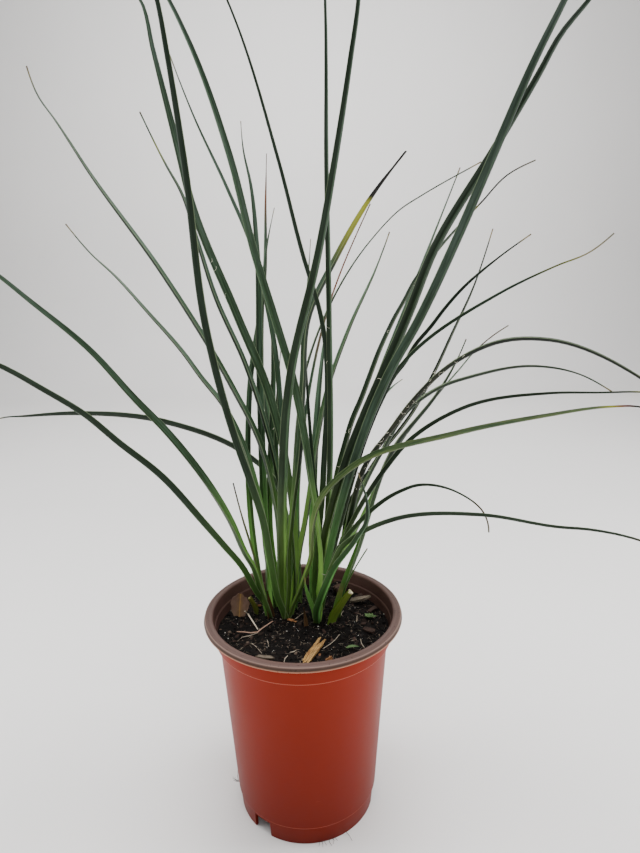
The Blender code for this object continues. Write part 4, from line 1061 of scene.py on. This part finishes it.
def deadLeafMaterial():
    # a dry leaf from another plant: red-brown, blotched with ochre towards its middle, matt and papery
    made, tree = newMaterial("dry papery leaf", Roughness=0.75, Specular_IOR_Level=0.15)
    away = maths(tree, "ABSOLUTE", attributeOf(tree, "across"))
    # blotches some 4 mm wide
    blotch = noiseOf(tree, objectPlace(tree), 260.0, 5, 0.6)
    middle = linear(tree, away, -2.2, 1.0, clamp=True)
    ochre = times(tree, middle, linear(tree, blotch, 1.6, -0.3), clamp=True)
    low = linear(tree, attributeOf(tree, "upward"), -0.5, 0.5, clamp=True)
    brown = mix(tree, blotch, "#4a342e", "#7d6157")
    brown = mix(tree, times(tree, ochre, 0.75), brown, "#8f6a26")
    brown = mix(tree, times(tree, low, 0.4), brown, "#6a5a3c")
    brown = mix(tree, ramp(tree, away, (0.02, 0.55), (0.06, 0.0)), brown, "#b08a4e")
    paint(tree, brown, None, blotch)
    return made


settle(makeDeadLeaf(), "dead_leaf_papery", [deadLeafMaterial()], ("dead_leaf",), 60)

twigLines = [([(-55, -11, 167.4), (-49, -12.6, 167.9), (-43, -14, 167.9), (-37.4, -13.6, 168.3)], 0.34, 0.5),
             ([(-37.6, -13.8, 168.3), (-34.6, -9, 168.5), (-31.2, -4.2, 168.4), (-26, 2.2, 168.6)], 0.5, 0.36)]
stalkLines = [([(-50.5, 10, 174), (-47.5, 8, 172), (-44, 2.5, 170), (-40, -5, 168.8), (-37.8, -9.5, 168.3)],
               0.75, 0.45)]
twigStuff = dryStuff("pale twig", "#80604f", "#c9a48f", (500, 500, 500), 0.7, 0.3)
settle(hairs("twig_forked", twigLines, 0.7, 8), "twig_forked", [twigStuff], ("twig",), 60)
settle(hairs("stalk_pale", stalkLines, 1.0, 8), "stalk_pale", [strawStuff], ("dead_leaf_stalk",), 60)


# old leaf bases: two cut off short, two dried to thin brown sheaths

cutLook = dict(
    cut_stub_right=dict(width=7.0, turn=-8, tone=1.0, widths=(1.2, 1.2, 1.1, 0.92, 0.7),
                        route=[(24, 2, 166), (27.6, 1.6, 173.5), (32, 1.1, 181.5), (36.6, 1, 189), (41, 1, 195)]),
    cut_stub_left=dict(width=4.6, turn=10, tone=0.0, widths=(1.25, 1.1, 0.9, 0.75),
                       route=[(-42, 20, 166), (-44, 20.7, 171.5), (-46, 21, 176), (-48, 21, 180)]))
sheathLook = dict(
    dry_sheath_left=dict(width=7.0, route=[(-29, 12, 166), (-29.5, 12.5, 172), (-30, 13, 180), (-31, 15, 190)]),
    dry_sheath_middle=dict(width=4.2, route=[(2, -3, 166), (1.5, -2, 171), (1, -1, 176), (0, 1, 182)]))


def cutLeafMaterial():
    # a thick living leaf base, yellow-green and glossy, with a dry cream cut across its end
    made, tree = newMaterial("cut leaf base", Roughness=0.42, Specular_IOR_Level=0.2)
    along, tone = attributeOf(tree, "along"), attributeOf(tree, "tone")
    streak = noiseOf(tree, addNode(tree, "UVMap").outputs[0], (1.3, 0.05, 1), 4)
    colour = mix(tree, streak, mix(tree, tone, "#28310f", "#314a17"), mix(tree, tone, "#535c22", "#6c8631"))
    paler = ramp(tree, along, (0.2, 0.0), (0.9, 0.55), (0.965, 0.6), (0.975, 1.0))
    colour = mix(tree, times(tree, paler, 0.5), colour, "#8f8a3c")
    dry = ramp(tree, along, (0.95, 0.0), (0.975, 1.0))
    colour = mix(tree, dry, colour, mix(tree, tone, "#8c8350", "#ded2ac"))
    paint(tree, colour, None, streak, 0.4)
    return made


cutSkin = cutLeafMaterial()
rowShares = np.linspace(0, 1, bladeLook["rows"] + 1)
for cutName, cut in cutLook.items():
    widths = cut["width"] * np.interp(rowShares, np.linspace(0, 1, len(cut["widths"])), cut["widths"])
    stub = growBlade(cutName + "_base", cut["width"], 1, cut["turn"], cut["route"], widths, tone=cut["tone"],
                     deep=1.5)
    settle(stub, cutName + "_base", [cutSkin], (cutName,), 50)

sheathStuff = dryStuff("dry leaf sheath", "#1f140c", "#6e5233", (500, 500, 40), 0.7)
for sheathName, sheath in sheathLook.items():
    blade = growBlade(sheathName + "_brown", sheath["width"], 1.7, 0, sheath["route"])
    settle(blade, sheathName + "_brown", [sheathStuff], (sheathName,), 50)
bpy.data.objects.remove(bladeModel)


# a seedling weed at the right, and two scraps of green leaf beside it

weedLook = dict(middle=(56.7, 7.9), leaves=7, length=5.5, width=3.2, thickness=0.25, seed=3,
                scraps=((34.3, -36, -1.57, 1.9), (36.8, 34.5, 0.6, 1.4)))


def makeWeed():
    w = weedLook
    draw = random.Random(w["seed"])
    onlySelect(None)
    bpy.ops.mesh.primitive_grid_add(x_subdivisions=4, y_subdivisions=6, size=1)
    model = bpy.context.object
    points = pointsOf(model.data)
    for point in points:
        share = point[1] + 0.5
        point[0] *= math.sin(math.pi * min(1, 0.12 + share * 0.88)) * w["width"]
        point[1] = share * w["length"]
        point[2] = 0.5 * abs(point[0]) ** 1.5 + share * (1 - share)
    setPoints(model.data, points)
    applyModifier(model, "SOLIDIFY", thickness=w["thickness"], offset=0)
    x, y = w["middle"]
    middle = Matrix.Translation(Vector((x, y, soilHeight(x, y) + 0.8)) * mm)
    places = []
    for i in range(w["leaves"]):
        turn = Matrix.Rotation(i * 2.4, 4, "Z") @ Matrix.Rotation(math.radians(draw.uniform(18, 50)), 4, "X")
        places.append((0, middle @ turn @ Matrix.Scale(mm * draw.uniform(0.8, 1.15), 4), draw.random()))
    for x, y, heading, size in w["scraps"]:
        turn = Matrix.Rotation(heading, 4, "Z") @ Matrix.Rotation(math.radians(6), 4, "X")
        place = Matrix.Translation(Vector((x, y, soilHeight(x, y) + 0.9)) * mm)
        places.append((0, place @ turn @ Matrix.Diagonal((mm, mm * size, mm, 1)), 0.3))
    weed = joinedCopies("seedling_weed", [model], places)
    bpy.data.objects.remove(model)
    return weed


weedSkin = dryStuff("seedling leaf", "#2a4024", "#6a8450", (200, 200, 200), 0.5, 0.3)
settle(makeWeed(), "seedling_weed", [weedSkin], (), 60)

# bits of husk by the middle crown and at the front wall
huskStuff = dryStuff("torn husk", "#43291a", "#a07048", (600, 600, 600), 0.75)
huskModel = flakeModel((1.0, 0.55, 0.3), 4)
huskPlaces = []
for x, y, size, tone in ((-10.5, 3.6, 5.2, 0.9), (-7.6, 2.2, 3, 1), (-13.5, 6.5, 3, 0.5), (20.5, -50, 6, 0.55),
                         (23.5, -53, 3.6, 0.8), (13.5, -43.5, 3, 0.2), (-40, 30, 4, 0.1)):
    huskPlaces.append(strewn(draw, x, y, size, 0.1, 0.3, 0, tone))
settle(joinedCopies("husks", [huskModel], huskPlaces), "husk_bits", [huskStuff], (), 35)
bpy.data.objects.remove(huskModel)


# white threads that fray from the leaf margins, thickest on the inner face of one leaf at the right:
# for each leaf how many, and between which shares of its length

threadLook = dict(step=1.1, points=6, radius=0.16, seed=8, leaves=dict(
    leaf_36=(125, 0.28, 0.56), leaf_38=(8, 0.2, 0.5), leaf_31=(7, 0.3, 0.7), leaf_25=(6, 0.3, 0.7),
    leaf_27=(5, 0.3, 0.6), leaf_34=(6, 0.3, 0.6), leaf_11=(4, 0.3, 0.7), leaf_17=(4, 0.3, 0.7)))


def anyWay(draw):
    return Vector((draw.gauss(0, 1), draw.gauss(0, 1), draw.gauss(0, 1))).normalized()


def makeThreads():
    t = threadLook
    draw = random.Random(t["seed"])
    lines = []
    for leafName, (count, start, end) in t["leaves"].items():
        centres, sides, ups, widths = bladeFrameOf[leafName + "_skin"]
        # on the leaf at the right they lie across its whole face, elsewhere at the margin
        inner = 0.2 if leafName == "leaf_36" else 0.95
        for i in range(count):
            k = int(draw.uniform(start, end) * bladeLook["rows"])
            across = draw.choice((-0.5, 0.5)) * draw.uniform(inner, 1.0)
            # half of them lie on the leaf's upper face, half on its underside
            level = bladeLook["fold"] * abs(2 * across) ** 1.2 * widths[k] + 0.3
            if i % 2:
                level -= 0.7 + bladeLook["thickness"] * (1 - 0.7 * (2 * across) ** 2) * widths[k]
            place = Vector(centres[k] + sides[k] * across * widths[k] + ups[k] * level)
            way = anyWay(draw)
            bend = Matrix.Rotation(draw.uniform(0.5, 1.3), 3, anyWay(draw))
            route = []
            for step in range(t["points"]):
                route.append(place.copy())
                place += way * t["step"] * draw.uniform(0.5, 1.2)
                way = bend @ way
            lines.append((route, t["radius"], t["radius"] * 0.6))
    return hairs("margin_threads", lines, 0.8)


threadStuff = dryStuff("frayed leaf fibre", "#b9b39a", "#f2eedd", (400, 400, 400), 0.7, 0.2)
settle(makeThreads(), "margin_threads", [threadStuff], (), 0)


# root hairs that have grown out through the wall's left side and under the foot:
# the middle of the tuft and its number, then where each foot hair starts and how far it reaches

rootLook = dict(tuftAt=(-60.8, -10, 17), tuft=7, seed=6, footHairs=(
    (10, -57.5, 4), (12.5, -57.2, 5.5), (15, -56.4, 4.5), (18.5, -55.6, 6), (21, -54.8, 5), (24, -53.6, 3.5),
    (32.5, -48.6, 10)))


def makeRoots():
    draw = random.Random(rootLook["seed"])
    x, y, z = rootLook["tuftAt"]
    lines = []
    for i in range(rootLook["tuft"]):
        reach, rise = draw.uniform(2.5, 5.5), draw.uniform(-0.3, 1.3)
        route = [(x + 0.6, y, z), (x - 0.4 * reach, y + draw.gauss(0, 0.5), z + 0.3 * reach * rise),
                 (x - reach, y + draw.gauss(0, 1), z + reach * rise)]
        lines.append((route, 0.22, 0.1))
    lines.append(([(x, y, z), (x - 0.7, y, z + 6), (x - 0.2, y, z + 12)], 0.25, 0.12))
    for x, y, reach in rootLook["footHairs"]:
        foot = Vector((x, y, 0))
        out = foot.normalized()
        side = Vector((-out.y, out.x, 0)) * draw.gauss(0, 0.8)
        rises = [Vector((0, 0, height)) for height in (1.6, 1.0, 0.5)]
        route = [foot + rises[0], foot + rises[1] + out * reach * 0.5 + side, foot + rises[2] + out * reach - side]
        lines.append((route, 0.22, 0.12))
    return hairs("root_hairs", lines, 0.2)


rootStuff = dryStuff("dry root", "#2c211c", "#6b564a", (400, 400, 400), 0.8, 0.2)
settle(makeRoots(), "root_hairs", [rootStuff], (), 0)
print("litter laid")


# pale seamless floor and wall, and plain soft studio light

studioLook = dict(wallAt=2.2, wallBend=0.5, bendSteps=12, halfWidth=3.0, front=-2.0, high=3.0, air=0.28)


def makeStudio():
    s = studioLook
    bendStart = s["wallAt"] - s["wallBend"]
    section = [(s["front"], 0.0), (bendStart, 0.0)]
    for i in range(1, s["bendSteps"] + 1):
        turn = math.pi / 2 * i / s["bendSteps"]
        section.append((bendStart + s["wallBend"] * math.sin(turn), s["wallBend"] * (1 - math.cos(turn))))
    section.append((s["wallAt"], s["high"]))
    count = len(section)
    sweep = bpy.data.meshes.new("studio_sweep")
    sweep.from_pydata([(x, y, z) for x in (-s["halfWidth"], s["halfWidth"]) for y, z in section], [],
                      [(i, i + count, i + count + 1, i + 1) for i in range(count - 1)])
    floor = newPiece("studio_sweep", sweep)
    onlySelect(floor)
    bpy.ops.object.shade_smooth()
    made, tree = newMaterial("matt studio paper", Roughness=0.9)
    paint(tree, mix(tree, noiseOf(tree, objectPlace(tree), 3.0), "#dcdad8", "#e2e0de"))
    sweep.materials.append(made)


def makeLight(name, place, aim, size, power):
    data = bpy.data.lights.new(name, "AREA")
    data.shape = "RECTANGLE"
    data.size, data.size_y = size
    data.energy = power
    light = newPiece(name, data)
    light.location = place
    light.rotation_euler = (Vector(aim) - Vector(place)).to_track_quat("-Z", "Y").to_euler()


makeStudio()
makeLight("overhead_softbox", (0.05, 0.1, 1.7), (0, 0.05, 0.2), (1.5, 1.3), 60)
makeLight("left_softbox", (-1.4, 0.15, 0.8), (0, 0, 0.35), (0.8, 1.2), 14)
makeLight("right_softbox", (1.4, 0.15, 0.8), (0, 0, 0.35), (0.8, 1.2), 17)
makeLight("front_fill", (0.4, -1.5, 1.4), (0, 0, 0.25), (1.2, 0.9), 7.5)
makeLight("wall_wash", (0, 1.0, 1.4), (0, 2.2, 1.15), (1.6, 0.3), 22)
world = bpy.data.worlds.new("studio_air")
bpy.context.scene.world = world
world.use_nodes = True
air = world.node_tree.nodes["Background"].inputs
air["Color"].default_value = srgb("#e8eaee")
air["Strength"].default_value = studioLook["air"]
print("studio lit")
